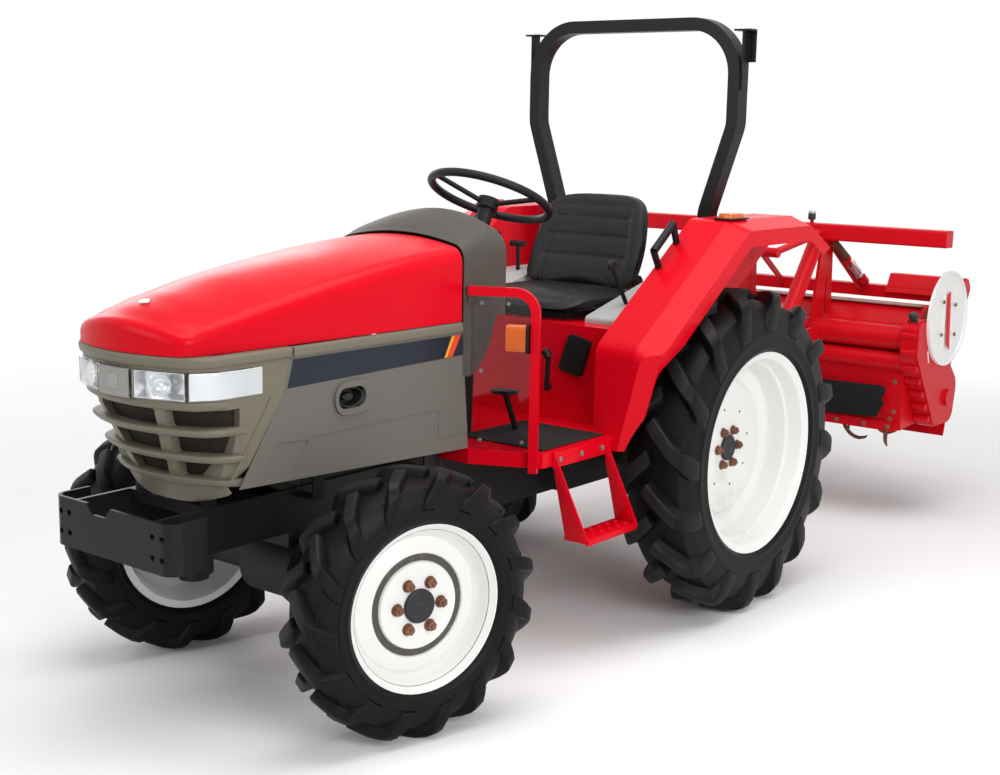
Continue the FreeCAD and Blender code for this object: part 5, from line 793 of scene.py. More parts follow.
BOX_RIBS, BOX_FOOT = 17, 903
rows = []
for k in range(BOX_RIBS):
    z = BOX_FOOT + k * RIB_PITCH
    for step, lift in ((0.0, 0.4), (0.4, 1.5), (0.75, 1.5)):
        at_edge = (k == 0 and not step) or (k == BOX_RIBS - 1 and step > 0.7)
        rows.append([(lamp_front(y) + (-3 if at_edge else lift), y, z + RIB_PITCH * step) for y in range(-59, 60, 6)])
middle_box = walled(skin("lamp_middle_box", rows), 3)
settled(middle_box, "chassis", lamp_grey, smooth=20)
plain_plate = spun("lamp_middle_plate", [(0, 20), (1.6, 19.4), (2.2, 17), (2.2, 0)], steps=40)
plain_plate.data.transform(Matrix.Translation(spot(2034.6, 0, 940)) @ Matrix.Rotation(math.radians(-90), 4, "Z"))
settled(plain_plate, "chassis", lamp_grey, smooth=35)

# ------------------------------------------------------------------ grille
# A moulded frame in warm taupe enamel, its bars rolled to full rounds: a brow over the lamps, a lip
# under them and three blades that wrap the nose, with a fine raised line down each flank.

GRILLE_FOOT, GRILLE_KNEE, GRILLE_LIP = 622, 717, 865
# Where the grille meets the side panels: height and place.
SEAM = [(600, 1890), (657, 1840), (673, 1853), (904, 1702), (1016, 1679)]
# A bar's round section: height and how far out, as shares of its size.
ROUND_BAR = [(-1.0, -5.0), (-0.96, 0.45), (-0.75, 0.82), (-0.4, 1.0), (0.4, 1.0), (0.75, 0.82), (0.96, 0.45),
             (1.0, -5.0)]


def flank(z):
    """Half the grille's width at a height, below and above its knee."""
    if z < GRILLE_KNEE:
        return 224 + 16 * (z - GRILLE_FOOT) / 95
    return 240 + 6 * (z - GRILLE_KNEE) / 148


def nose_plan(z, out=0.0):
    """The grille's plan line at a height, left seam to right seam, rounded at its corners."""
    if z >= GRILLE_LIP:
        nose = 2002 + 28 * (z - GRILLE_LIP) / 147
    else:
        nose = 1885 + 117 * (z - GRILLE_FOOT) / 243
    half = flank(min(z, GRILLE_LIP))
    for (z0, x0), (z1, x1) in zip(SEAM, SEAM[1:]):
        if z0 <= z <= z1:
            seam = x0 + (x1 - x0) * (z - z0) / (z1 - z0)
    sagitta, chord = 55, half - 36
    radius = (chord ** 2 + sagitta ** 2) / (2 * sagitta)
    line = [(seam, half + out), (nose - 126, half + out), (nose - 96, half - 10 + out * 0.9)]
    for y in (chord, chord * 0.86, chord * 0.66, chord * 0.44, chord * 0.22, 0):
        x = nose - radius + math.sqrt(radius ** 2 - y * y)
        line.append((x + out * (1 - 0.25 * y / chord), y + out * 0.6 * y / chord))
    for _ in range(2):
        cut = [line[0]]
        for (x0, y0), (x1, y1) in zip(line, line[1:]):
            cut += [(x0 * near + x1 * (1 - near), y0 * near + y1 * (1 - near)) for near in (0.75, 0.25)]
        line = cut + [line[-1]]
    return line + [(x, -y) for x, y in line[-2::-1]]


def rolled_bar(name, middle, reach, out, skip, soft):
    """A bar round the nose: its middle height, half height, how far it stands out, and where it ends."""
    rows = []
    for lift, share in ROUND_BAR:
        z = middle + lift * reach
        proud = share * out if share > 0 else share
        outer, inner = nose_plan(z, proud), nose_plan(z, -5)
        last = len(outer) - 1 - skip
        row = []
        for i in range(skip, last + 1):
            edge = min(i - skip, last - i)
            hold = min(1.0, edge / soft) ** 0.5 if soft else 1.0
            (x0, y0), (x1, y1) = inner[i], outer[i]
            row.append((x0 + (x1 - x0) * hold, y0 + (y1 - y0) * hold, middle + lift * reach * (0.4 + 0.6 * hold)))
        rows.append(row)
    return walled(skin(name, rows), 1.5)


def tubed(line, radius):
    """Turns a drawn line into a tube of a radius in metres."""
    bpy.ops.object.mode_set(mode="OBJECT")
    tube = line.modifiers.new("tube", "SKIN")
    for item in line.data.skin_vertices[0].data:
        item.radius = (radius, radius)
    bpy.ops.object.modifier_apply(modifier="tube")


def painted(finish, *names):
    """Gives CAD nodes their finish."""
    for name in names:
        nodes[name].data.materials.clear()
        nodes[name].data.materials.append(finish)


grille_enamel = finish_of("grille_enamel", (0.172, 0.155, 0.114), 0.42, grain=0.05, grain_size=220, vary=0.04,
                          gloss=0.27, edge=0.0015, dust=(0.22, 0.205, 0.16), dust_share=0.06)
screen_dark = finish_of("screen_dark", (0.028, 0.024, 0.019), 0.8, grain=0.8, grain_size=900, vary=0.2, gloss=0.15)
bars = [
    rolled_bar("brow", 998, 14, 8, 0, 0), rolled_bar("lamp_lip", 892, 12, 9, 5, 5),
    rolled_bar("blade_high", 822, 11, 17, 7, 4), rolled_bar("blade_middle", 752, 11, 17, 6, 4),
    rolled_bar("blade_low", 687, 11, 15, 5, 4),
]
settled(joined("grille_bars", bars), "chassis", grille_enamel, smooth=45)
LINE_LEAN, LINE_RADIUS = 0.648, 0.0022
raised_line = drawn_line("raised_line", [
    spot(1740 + (904 - z) * LINE_LEAN, flank(z) + 0.4, z) for z in (895, 860, 820, 780, 740, 717, 704)])
tubed(raised_line, LINE_RADIUS)
both_sides(raised_line, "raised_line", grille_enamel, smooth=60)
painted(grille_enamel, "grille_frame")
painted(screen_dark, "grille_screen")

# ------------------------------------------------------------------ side panels
# Pressed panels in taupe enamel under the bonnet, each with a rounded moulding along its top. A dark
# blank band on it ends in two slanted bars, and a black cup stands in its oval port.

def sheet_of(name, corners, push, edge=0.0):
    """A flat sheet cut to corners in millimetres, thickened by a push, with rounded edges."""
    sheet = drawn_line(name, [spot(*corner) for corner in corners])
    bpy.ops.mesh.edge_face_add()
    bpy.ops.mesh.extrude_region_move(TRANSFORM_OT_translate={"value": Vector(push) / 1000})
    closed_up()
    if edge:
        applied(sheet, "BEVEL", width=edge / 1000, segments=2)
    return sheet


PANEL_Y = 246
PORT = (1466, PANEL_Y, 855)
band_navy = finish_of("band_navy", (0.006, 0.010, 0.022), 0.3, vary=0.08, gloss=0.35, grain=0.01)
bar_orange = finish_of("bar_orange", (0.80, 0.06, 0.02), 0.3, vary=0.03, gloss=0.35)
bar_yellow = finish_of("bar_yellow", (0.86, 0.38, 0.02), 0.3, vary=0.03, gloss=0.35)
cup_black = finish_of("cup_black", (0.01, 0.01, 0.011), 0.4, vary=0.15, grain=0.05, grain_size=300)
for title, corners, depth, finish, paint in (
    ("panel_band", [(1671, 979), (1018, 976), (1010, 917), (1692, 907)], 0.5, band_navy, "black_paint"),
    ("panel_bar_orange", [(1048, 976), (1024, 976), (1060, 917), (1081, 917)], 0.8, bar_orange, "red_paint"),
    ("panel_bar_yellow", [(1063, 976), (1050, 976), (1083, 917), (1094, 917)], 0.8, bar_yellow, "amber"),
):
    both_sides(sheet_of("label", [(x, PANEL_Y, z) for x, z in corners], (0, depth, 0)), title, finish, smooth=0)

cup = joined("port_cup", [
    spun("cup", [(-30, 0), (-30, 20), (-28, 23), (-2, 26), (0, 28), (1.5, 28), (-1, 24), (-26, 20), (-28, 0)],
         steps=48),
    spun("cup_knob", [(-28, 0), (-28, 12), (-12, 12), (-9, 10), (-8, 0)], steps=32),
])
cup.data.transform(Matrix.Translation(spot(*PORT)) @ Matrix.Diagonal((1.7, 1, 0.96, 1)))
both_sides(cup, "port_cup", cup_black)

# The moulding's section, height and how far out. Its front end fades into the panel.
moulding = [(983, -2), (983.4, 4.6), (986, 7.2), (990, 8), (1004, 8), (1008, 7.2), (1011, 4.6), (1011.4, -2)]
rows = [[(x, PANEL_Y + out * hold, z) for x, hold in ((1020, 0.4), (1023, 0.9), (1030, 1.0), (1350, 1.0), (1674, 1.0))]
        for z, out in moulding]
both_sides(walled(skin("moulding", rows), 1.5), "panel_moulding", grille_enamel, smooth=45)

# ------------------------------------------------------------------ driver's seat
# A bucket seat of black vinyl over foam on a black pan: a dished back with wings and a rounded top,
# and a cushion with raised sides that rolls over at its front. Sewn channels cross both pads, and
# the foam swells the vinyl between them.

PAD_CUTS, SWELL_FRAMES, SWELL = 44, 14, 0.009


def pad_of(name, shape, seams):
    """A sewn pad: a finely cut cube placed by a function, held at its seams and blown up as cloth over foam."""
    nothing_selected()
    bpy.ops.mesh.primitive_cube_add(size=2)
    pad = bpy.context.object
    pad.name = name
    bpy.ops.object.mode_set(mode="EDIT")
    bpy.ops.mesh.select_all(action="SELECT")
    bpy.ops.mesh.subdivide(number_cuts=PAD_CUTS)
    bpy.ops.object.mode_set(mode="OBJECT")
    marks = [tuple(corner.co) for corner in pad.data.vertices]
    held = pad.vertex_groups.new(name="held")
    for corner, mark in zip(pad.data.vertices, marks):
        corner.co = spot(*shape(*mark))
        held.add([corner.index], seams(*mark), "REPLACE")
    before = [corner.co.copy() for corner in pad.data.vertices]
    cloth = pad.modifiers.new("swell", "CLOTH")
    for setting, value in (("use_pressure", True), ("uniform_pressure_force", 5), ("vertex_group_mass", "held"),
                           ("tension_stiffness", 8), ("compression_stiffness", 8), ("bending_stiffness", 0.3)):
        setattr(cloth.settings, setting, value)
    cloth.settings.effector_weights.gravity = 0
    cloth.point_cache.frame_end = SWELL_FRAMES
    for frame in range(1, SWELL_FRAMES + 1):
        bpy.context.scene.frame_set(frame)
    bpy.ops.object.modifier_apply(modifier="swell")
    bpy.context.scene.frame_set(1)
    for corner, old in zip(pad.data.vertices, before):
        move = corner.co - old
        if move.length > SWELL:
            corner.co = old + move * (SWELL / move.length)
    pad.vertex_groups.clear()
    return pad


def channel(value, at, width):
    """How deep a sewn channel is at a distance from its line, 0 to 1."""
    return math.exp(-((value - at) / width) ** 2)


def rounded(u, v, power):
    """Pulls a square's corner in to a rounded outline."""
    far = max(abs(u), abs(v))
    if far < 1e-6:
        return 0.0, 0.0
    length = (abs(u) ** power + abs(v) ** power) ** (1 / power)
    return u * far / length, v * far / length


# The sewn lines that cross each pad, where its rim is sewn at the sides and at the end, and how
# far the lines run.
BACK_LINES, BACK_RIM, BACK_RIM_TOP, BACK_REACH = (-0.34, 0.10, 0.50), 0.72, 0.76, 0.74
CUSHION_LINES, CUSHION_RIM, CUSHION_RIM_FRONT = (-0.30, 0.10, 0.48), 0.70, 0.80


def channels(value, lines, width):
    """How deep all the crossing channels are at a place along the pad."""
    return sum(channel(value, at, width) for at in lines)


def back_place(u, v):
    """Where a corner of the cube's front lies on the back pad, whose top is rounder than its foot."""
    return rounded(u, v, 4.2 if v > 0 else 7.0)


def back_rim(side, up, width):
    """How deep the channel round the back pad's middle is."""
    return (channel(abs(side), BACK_RIM, width) * (up < BACK_REACH)
            + channel(up, BACK_RIM_TOP, width) * (abs(side) < BACK_REACH))


def back_shape(w, u, v):
    """The back pad: w through it, front positive, u across, v up."""
    side, up = back_place(u, v)
    width = 214 - 10 * up + 8 * math.exp(-((up + 0.15) / 0.5) ** 2)
    edge = max(abs(u), abs(v)) ** 6
    thick = 36 * (1 - 0.62 * edge)
    carved = 5.5 * channels(up, BACK_LINES, 0.035) * (abs(side) < BACK_REACH) + 4.5 * back_rim(side, up, 0.03)
    front = thick + (7 * abs(side) ** 3) - carved * (w > 0)
    x = 36 - 58 * up + 30 * side * side - 8 * (1 - up * up)
    return x + w * (front if w > 0 else 26 * (1 - 0.5 * edge)), side * width, 1180 + up * 154


def cushion_shape(u_len, u, w):
    """The cushion: u_len along it, front positive, u across, w up through it."""
    side, along = rounded(u, u_len, 5.0)
    edge = max(abs(u), abs(u_len)) ** 6
    seams = channels(along, CUSHION_LINES, 0.03)
    rim = (channel(abs(side), CUSHION_RIM, 0.028) * (along < CUSHION_RIM_FRONT)
           + channel(along, CUSHION_RIM_FRONT, 0.028) * (abs(side) < 0.72))
    top = 1030 + 20 * abs(side) ** 3 + 6 * (1 - side * side) - 24 * max(0.0, along - 0.55) ** 1.5 / 0.3 - 34 * edge
    top -= 5.0 * seams * (abs(side) < CUSHION_RIM) + 4.5 * rim
    low = 982 + 10 * edge
    x = 236 + 202 * along + (6 * w * (along > 0.6))
    return x, side * 217, (top + low) / 2 + w * (top - low) / 2


def back_seams(w, u, v):
    """How firmly the back pad is held: along its sewn lines, and all over its rear shell."""
    side, up = back_place(u, v)
    lines = channels(up, BACK_LINES, 0.045) * (abs(side) < BACK_REACH)
    return 1.0 if w < -0.5 else min(1.0, lines + back_rim(side, up, 0.04))


def cushion_seams(u_len, u, w):
    """How firmly the cushion is held: along its sewn lines, and where it rests on its pan."""
    side, along = rounded(u, u_len, 5.0)
    lines = channels(along, CUSHION_LINES[:2], 0.045) * (abs(side) < CUSHION_RIM)
    rim = (channel(abs(side), CUSHION_RIM, 0.04) * (along < CUSHION_RIM_FRONT)
           + channel(along, CUSHION_RIM_FRONT, 0.04) * (abs(side) < 0.72) * 0.6)
    return 1.0 if w < -0.6 else min(1.0, lines + rim)


vinyl, tree, shader = new_material("black_vinyl")
coords = add_node(tree, "ShaderNodeTexCoord")
cells = add_node(tree, "ShaderNodeTexVoronoi", Scale=520.0)
soft = add_node(tree, "ShaderNodeTexNoise", Scale=14.0, Detail=4.0)
creases = add_node(tree, "ShaderNodeBump", Strength=0.16, Distance=0.001)
folds = add_node(tree, "ShaderNodeBump", Strength=0.25, Distance=0.006)
shade = add_node(tree, "ShaderNodeMix", data_type="RGBA", A=(0.0045, 0.0045, 0.005, 1), B=(0.010, 0.010, 0.0105, 1))
rub = add_node(tree, "ShaderNodeMapRange", **{"To Min": 0.34, "To Max": 0.52})
linked(tree, (coords, "Object", cells, "Vector"), (coords, "Object", soft, "Vector"),
       (soft, "Fac", shade, "Factor"), (soft, "Fac", rub, "Value"), (soft, "Fac", folds, "Height"),
       (cells, "Distance", creases, "Height"), (folds, "Normal", creases, "Normal"),
       (creases, "Normal", shader, "Normal"), (shade, "Result", shader, "Base Color"),
       (rub, "Result", shader, "Roughness"))
shader.inputs["Specular IOR Level"].default_value = 0.24

for title, shape, seams in (
    ("seat_back_pad", back_shape, back_seams), ("seat_cushion_pad", cushion_shape, cushion_seams),
):
    pad = pad_of(title, shape, seams)
    rounding = pad.modifiers.new("soft", "SUBSURF")
    rounding.levels = 1
    rounding.render_levels = 1
    settled(pad, "chassis", vinyl, smooth=0)
    bpy.ops.object.shade_smooth()
    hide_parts("driver_seat")

# ------------------------------------------------------------------ floor mats
# Black moulded rubber mats with fine ribs that run fore and aft, one on each side of the tunnel.
# Each lies loose on the floor, its ends turned down to the sheet.

mat_rubber = finish_of("mat_rubber", (0.012, 0.012, 0.0125), 0.72, grain=0.3, grain_size=260, vary=0.25,
                       dust=(0.06, 0.055, 0.05), dust_share=0.16)
MAT_START, MAT_END, MAT_INNER, MAT_OUTER = 568.5, 874.5, 124, 434
MAT_FOOT, MAT_TOP, RIB_TOP, RIB_STEP = 640.4, 643.2, 646.0, 12
section = []
for y in range(MAT_INNER, MAT_OUTER, RIB_STEP):
    section += [(y, MAT_TOP), (y + 2.5, MAT_TOP), (y + 4, RIB_TOP), (y + 8, RIB_TOP), (y + 9.5, MAT_TOP)]
rows = [[(x, y, MAT_FOOT if at_end else z) for y, z in section]
        for x, at_end in ((MAT_START, True), (MAT_START + 0.1, False), (MAT_END - 0.1, False), (MAT_END, True))]
both_sides(skin("mat", rows), "ribbed_mat", mat_rubber, smooth=0, replaced="floor_mat")

# ------------------------------------------------------------------ guard windows
# A clear sheet, a little smoky, fills each red guard hoop; round-headed screws hold its corners and
# a folded grey bracket ties the hoop to the cowl. A ribbed amber lamp hangs from a black shoe on the
# outer post.

smoky, tree, shader = new_material("smoky_sheet")
shader.inputs["Base Color"].default_value = (0.70, 0.68, 0.67, 1)
shader.inputs["Transmission Weight"].default_value = 1.0
shader.inputs["IOR"].default_value = 1.3
hazed(tree, shader, 25.0, 6.0, 0.01, 0.06)
painted(smoky, "guard_panes")

zinc = finish_of("zinc_plate", (0.26, 0.26, 0.25), 0.42, metal=0.6, grain=0.12, grain_size=160, vary=0.12,
                 dust=(0.2, 0.17, 0.14), dust_share=0.15)


def round_bolt(name, reach, height):
    """A round-headed bolt on its washer, standing up along Y from the origin."""
    return spun(name, [(-1, 0), (-1, reach * 1.35), (1, reach * 1.35), (1, reach), (height * 0.5, reach),
                       (height * 0.85, reach * 0.8), (height, reach * 0.4), (height, 0)], steps=20)


def facing(place, way):
    """The matrix that stands a piece made along Y at a place in metres, facing a direction."""
    return Matrix.Translation(place) @ Vector(way).to_track_quat("Y", "Z").to_matrix().to_4x4()


PANE_Y, SCREW_INSET = 0.259, 0.002
guard_low, guard_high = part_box("guard_panes")
pane_turn = math.atan2(guard_high[1] - PANE_Y, guard_low[0] - guard_high[0])
pane_way = Vector((math.cos(pane_turn), math.sin(pane_turn), 0))
pane_face = Vector((pane_way.y, -pane_way.x, 0))
pane_start = Vector((guard_high[0] - SCREW_INSET, PANE_Y + 0.0015, 0))
head = round_bolt("head", 4.6, 4)
screws = []
SCREW_FOOT, SCREW_MIDDLE, SCREW_HEAD = 0.668, 0.87, 1.066
for reach, height in ((0.022, SCREW_FOOT), (0.146, SCREW_FOOT), (0.022, SCREW_HEAD), (0.100, SCREW_HEAD),
                      (0.022, SCREW_MIDDLE)):
    place = pane_start + pane_way * reach + Vector((0, 0, height)) + pane_face * 0.001
    screws.append(copied(head, facing(place, pane_face)))
bpy.data.objects.remove(head)
both_sides(joined("screws", screws), "pane_screws", zinc)
CLIP_Y = 247.5
clip = sheet_of("clip", [(x, CLIP_Y, z) for x, z in (
    (1000, 1110), (1000, 1066), (975, 1060), (962, 1066), (962, 1110))], (0, 5, 0), edge=1.2)
both_sides(clip, "guard_bracket", grey_moulding, smooth=40)

amber_lens, tree, shader = new_material("amber_lens")
shader.inputs["Base Color"].default_value = (0.74, 0.13, 0.003, 1)
shader.inputs["Roughness"].default_value = 0.15
shader.inputs["Transmission Weight"].default_value = 0.15
rubber_edge = finish_of("rubber_edge", (0.008, 0.008, 0.009), 0.55, grain=0.1, grain_size=300, vary=0.15, gloss=0.2)


def squared(turn):
    """A point on a soft-cornered square's outline, from -1 to 1 both ways."""
    return [math.copysign(abs(value) ** 0.35, value) for value in (math.cos(turn), math.sin(turn))]


def lamp_block(name, levels, place_of):
    """A soft-cornered block of levels (height, half width, half depth), each corner set by place_of."""
    outline = [squared(2 * math.pi * k / 32) for k in range(33)]
    return skin(name, [[place_of(wide * across, deep * through, height) for across, through in outline]
                       for height, wide, deep in levels])


POST_FACE, POST_X, POST_Y, POST_LAMP_Z = 20.6, 990, 250, 973
CORNER_TURN = math.atan2(200, -96)


def on_corner(out, up, along):
    """A place on the guard's post: off its face, above the lamp's middle, and along the floor's cut corner."""
    off = out - POST_FACE
    return (POST_X + along * math.cos(CORNER_TURN) - off * math.sin(CORNER_TURN),
            POST_Y + along * math.sin(CORNER_TURN) + off * math.cos(CORNER_TURN), POST_LAMP_Z + up)


levels = []
for along in range(172, 118, -6):
    levels += [(along, 18.4, 38.8), (along - 1.2, 17.8, 38.2), (along - 3, 17.8, 38.2), (along - 4.2, 18.4, 38.8)]
levels += [(114.5, 17.6, 38), (112.4, 14.5, 35), (112.2, 7, 0)]
both_sides(lamp_block("shoe", [(182, 19, 42), (174, 19, 42), (172.5, 17, 40), (172.5, 8, 0)], on_corner),
           "lamp_shoe", rubber_edge, smooth=30, replaced="amber_lamps")
both_sides(lamp_block("post_lens", levels, on_corner),
           "post_lens", amber_lens, smooth=30, replaced="amber_lamps")

# ------------------------------------------------------------------ steps
# A bolted strip under each side of the floor carries two broad straps that lean out to a folded
# tread; the tread's top is punched with raised holes for grip and its outer lip is turned down.

def hex_bolt(name, reach, height):
    """A hexagon bolt head on its washer, standing up along Y from the origin."""
    return hex_nut(name, reach, height, reach * 0.35)


def row_of(name, pattern, places, way):
    """One piece made of copies of a bolt, each at a place in millimetres and facing the same way."""
    made = joined(name, [copied(pattern, facing(spot(*place), way)) for place in places])
    bpy.data.objects.remove(pattern)
    return made


STRAP_LEAN = 53 / 259
STRIP_Y, STRAP_TOP, TREAD_TOP, TREAD_LENGTH = 450.3, 636, 381, 257
STRAP = [(450.3, 636), (458, 636), (545, 381), (545, 366), (466, 366), (450.3, 560)]
TREAD = [(462, 366), (462, 381), (545, 381), (545, 360), (541, 360), (541, 377), (466, 377), (466, 366)]
strip = sheet_of("strip", [(x, STRIP_Y, z) for x, z in ((850, 590), (850, STRAP_TOP), (582, STRAP_TOP), (582, 590))],
                 (0, 7.7, 0), edge=1)
straps = [sheet_of("strap", [(top - (STRAP_TOP - z) * STRAP_LEAN, y, z) for y, z in STRAP], (-6, 0, 0), edge=1.2)
          for top in (852, 593)]
tread = sheet_of("tread", [(541, y, z) for y, z in TREAD], (TREAD_LENGTH, 0, 0), edge=1.2)
both_sides(joined("step", [strip] + straps + [tread]), "step", red_enamel, replaced="steps")
grip = spun("grip", [(0, 9.5), (2.2, 8.2), (2.6, 7.0), (0.4, 6.4), (0.2, 0)], steps=20)
places = [(x, y, TREAD_TOP) for y in (483, 522) for x in range(566, 790, 42)]
both_sides(row_of("grips", grip, places, (0, 0, 1)), "step_grips", red_enamel)
heads = row_of("heads", hex_bolt("bolt", 7, 5), [(x, 458, 613) for x in (610, 716, 822)], (0, 1, 0))
both_sides(heads, "step_bolts", zinc)

# ------------------------------------------------------------------ fenders
# Folded red sheet over the rear wheels, with a black rubber bead pushed on the rear edge and an
# amber lamp on a black pad that is screwed to each crown.

BEAD_RADIUS = 0.008
PAD_FRONT, PAD_BACK, PAD_INNER, PAD_OUTER = 32, -82, 466, 534
fender_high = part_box("fenders")[1][2] * 1000
bead = drawn_line("bead", [spot(*place) for place in (
    (-549, 380, 1190), (-549, 520, 1190), (-547, 560, 1174), (-546, 594, 1160))])
tubed(bead, BEAD_RADIUS)
applied(bead, "SUBSURF", levels=1, render_levels=1)
both_sides(bead, "fender_bead", rubber_edge, smooth=40)
pad = sheet_of("lamp_pad", [(x, y, fender_high + 0.3) for x, y in (
    (PAD_BACK, PAD_INNER), (PAD_FRONT, PAD_INNER), (PAD_FRONT, PAD_OUTER), (PAD_BACK, PAD_OUTER))], (0, 0, 5), edge=2)
both_sides(pad, "lamp_pad", rubber_edge, smooth=40)


def on_pad(forward, left, up):
    """A place on the lamp's pad: from its middle, and up from the fender's crown."""
    return forward + (PAD_FRONT + PAD_BACK) / 2, left + (PAD_INNER + PAD_OUTER) / 2, fender_high + up


lens = lamp_block("fender_lens", [(4, 46.5, 26.5), (15, 46.5, 26.5), (19, 44.5, 24.5), (20, 40, 20), (20, 20, 0)],
                  on_pad)
both_sides(lens, "fender_lens", amber_lens, smooth=40, replaced="amber_lamps")

# ------------------------------------------------------------------ rotary tiller
# A folded steel hood, worn bare along its ridge, whose front wears a rubber flap over a bolted rail.
# A red flash and four bolts mark the guard disc at its side, and a coil spring with a bright sleeve
# stands on the rod that sets the rear cover.

rusty_steel = finish_of("rusty_steel", (0.13, 0.055, 0.03), 0.75, grain=0.6, grain_size=160, spots=(0.28, 0.11, 0.04),
                        spot_share=0.2, vary=0.3, edge=0.002)
bright_steel = finish_of("bright_steel", (0.55, 0.55, 0.56), 0.3, metal=0.9, grain=0.1, grain_size=200, vary=0.1)
worn_edge = finish_of("worn_edge", (0.42, 0.30, 0.26), 0.6, grain=0.4, grain_size=300, vary=0.2,
                      spots=(0.16, 0.07, 0.045), spot_share=0.2, spot_size=40)
flap_rubber = finish_of("flap_rubber", (0.010, 0.010, 0.011), 0.75, grain=0.6, grain_size=220, vary=0.3, gloss=0.15,
                        dust=(0.05, 0.042, 0.036), dust_share=0.12)
HOOD_FACE, RAIL_Z, HOOD_HALF = -1254.6, 407, 560
flap = sheet_of("hood_flap", [(HOOD_FACE, y, z) for y, z in (
    (275, 566), (505, 570), (523, 560), (522, 534), (508, 520), (520, 500), (492, 440), (258, 432), (-560, 432),
    (-560, 566))], (2.4, 0, 0), edge=0.8)
settled(flap, "tiller", flap_rubber, smooth=30)
rail_bolts = row_of("rail_bolts", hex_bolt("bolt", 8.5, 7), [
    (HOOD_FACE, y, RAIL_Z) for y in (-520, -400, -280, -160, -40, 80, 200, 320, 440, 540)], (1, 0, 0))
hood_bolts = row_of("hood_bolts", hex_bolt("bolt", 8, 6), [
    (HOOD_FACE, y, z) for y, z in ((560, 590), (562, 470), (548, 440), (-575, 590), (-575, 470))], (1, 0, 0))
settled(joined("hood_front_bolts", [rail_bolts, hood_bolts]), "tiller", nut_rust, smooth=35)

ridge = joined("hood_worn_ridge", [
    sheet_of("ridge", [(-1452, -HOOD_HALF, 868), (-1452, HOOD_HALF, 868), (-1449, HOOD_HALF, 872.6),
                       (-1449, -HOOD_HALF, 872.6)], (-20, 0, 0.8), edge=0.4),
    sheet_of("ridge", [(-1470, -HOOD_HALF, 871.5), (-1470, HOOD_HALF, 871.5), (-1470, HOOD_HALF, 873.2),
                       (-1470, -HOOD_HALF, 873.2)], (-44, 0, 0), edge=0.4),
])
settled(ridge, "tiller", worn_edge, smooth=40)

CASE_FACE, DISC_FACE = 650.4, 663.2
mark = sheet_of("case_blank_mark", [(x, CASE_FACE, z) for x, z in (
    (-1334, 712), (-1343, 716), (-1359, 668), (-1350, 664))], (0, 0.6, 0))
settled(mark, "tiller", white_enamel, smooth=0)
vent = spun("case_vent_cap", [(-6, 0), (-6, 16), (0, 17), (2, 12), (8, 12), (10, 19), (24, 19), (28, 15), (29, 0)],
            steps=32)
vent.data.transform(facing(spot(-1262, 616, 842), (0.25, 0.05, 1)))
settled(vent, "tiller", cap_black, smooth=35)

stripe = sheet_of("disc_flash", [(x, DISC_FACE, z) for x, z in (
    (-1500, 940), (-1466, 926), (-1488, 722), (-1522, 700))], (0, 0.9, 0), edge=0.3)
settled(stripe, "tiller", red_enamel, smooth=30)
disc_bolts = row_of("disc_bolts", round_bolt("head", 6, 5), [
    (x, 662.6, z) for x, z in ((-1440, 900), (-1560, 880), (-1435, 770), (-1566, 760))], (0, 1, 0))
settled(disc_bolts, "tiller", nut_rust, smooth=35)

ROD_START, ROD_END = spot(-1345, 206, 1127), spot(-1706, 206, 917)
rod_way = (ROD_END - ROD_START).normalized()
COIL_TURNS, COIL_STEPS, COIL_START, COIL_LENGTH = 15, 14, 0.020, 0.142
COIL_REACH, WIRE_REACH = 0.0155, 0.0032
wire = []
for k in range(COIL_TURNS * COIL_STEPS + 1):
    angle = 2 * math.pi * k / COIL_STEPS
    climb = COIL_START + COIL_LENGTH * k / (COIL_TURNS * COIL_STEPS)
    ring = []
    for j in range(9):
        bend = 2 * math.pi * j / 8
        reach = COIL_REACH + WIRE_REACH * math.cos(bend)
        ring.append((reach * math.cos(angle), reach * math.sin(angle), climb + WIRE_REACH * math.sin(bend)))
    wire.append(ring)
coil = laid("rear_cover_spring", wire)
coil.data.transform(Matrix.Translation(ROD_START) @ rod_way.to_track_quat("Z", "Y").to_matrix().to_4x4())
settled(coil, "tiller", rusty_steel, smooth=60)
sleeve = spun("spring_sleeve", [(226, 8), (226, 20), (229, 22), (236, 22), (238, 18.5), (312, 18.5), (314, 22),
                                (322, 22), (324, 19), (324, 8)], steps=32)
sleeve.data.transform(facing(ROD_START, rod_way))
settled(sleeve, "tiller", bright_steel, smooth=35)
knob = spun("depth_knob", [(0, 7), (0, 14), (3, 15.5), (24, 15.5), (27, 14), (27, 0)], steps=24)
cap = spun("depth_knob_cap", [(26, 15.2), (33, 15.6), (36.5, 12), (37, 0)], steps=24)
for piece, finish, paint in ((knob, cap_black, "black_plastic"), (cap, bright_steel, "steel")):
    piece.data.transform(facing(spot(-1336.5, 120, 1201), (0, 0, 1)))
    settled(piece, "tiller", finish, smooth=35)

# ------------------------------------------------------------------ rotor
# A steel tube with flanges; on each stands a ring of blades, flat bars curved back and turned over
# at their tips to left or right in turn, all brown with rust.

BLADE_STATIONS, BLADE_ROOT, BLADE_THICK = 14, 48, 5
BLADE_CURL, BLADE_TURNOVER = math.radians(66), 46
FLANGES, FLANGE_STEP, BLADES, FLANGE_STAGGER = 9, 120, 4, 34
rotor_low, rotor_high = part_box("tiller_rotor")
rotor_x = (rotor_low[0] + rotor_high[0]) / 2
rotor_z = (rotor_low[2] + rotor_high[2]) / 2
rotor_reach = min(rotor_high[0] - rotor_low[0], rotor_high[2] - rotor_low[2]) * 500 - 2
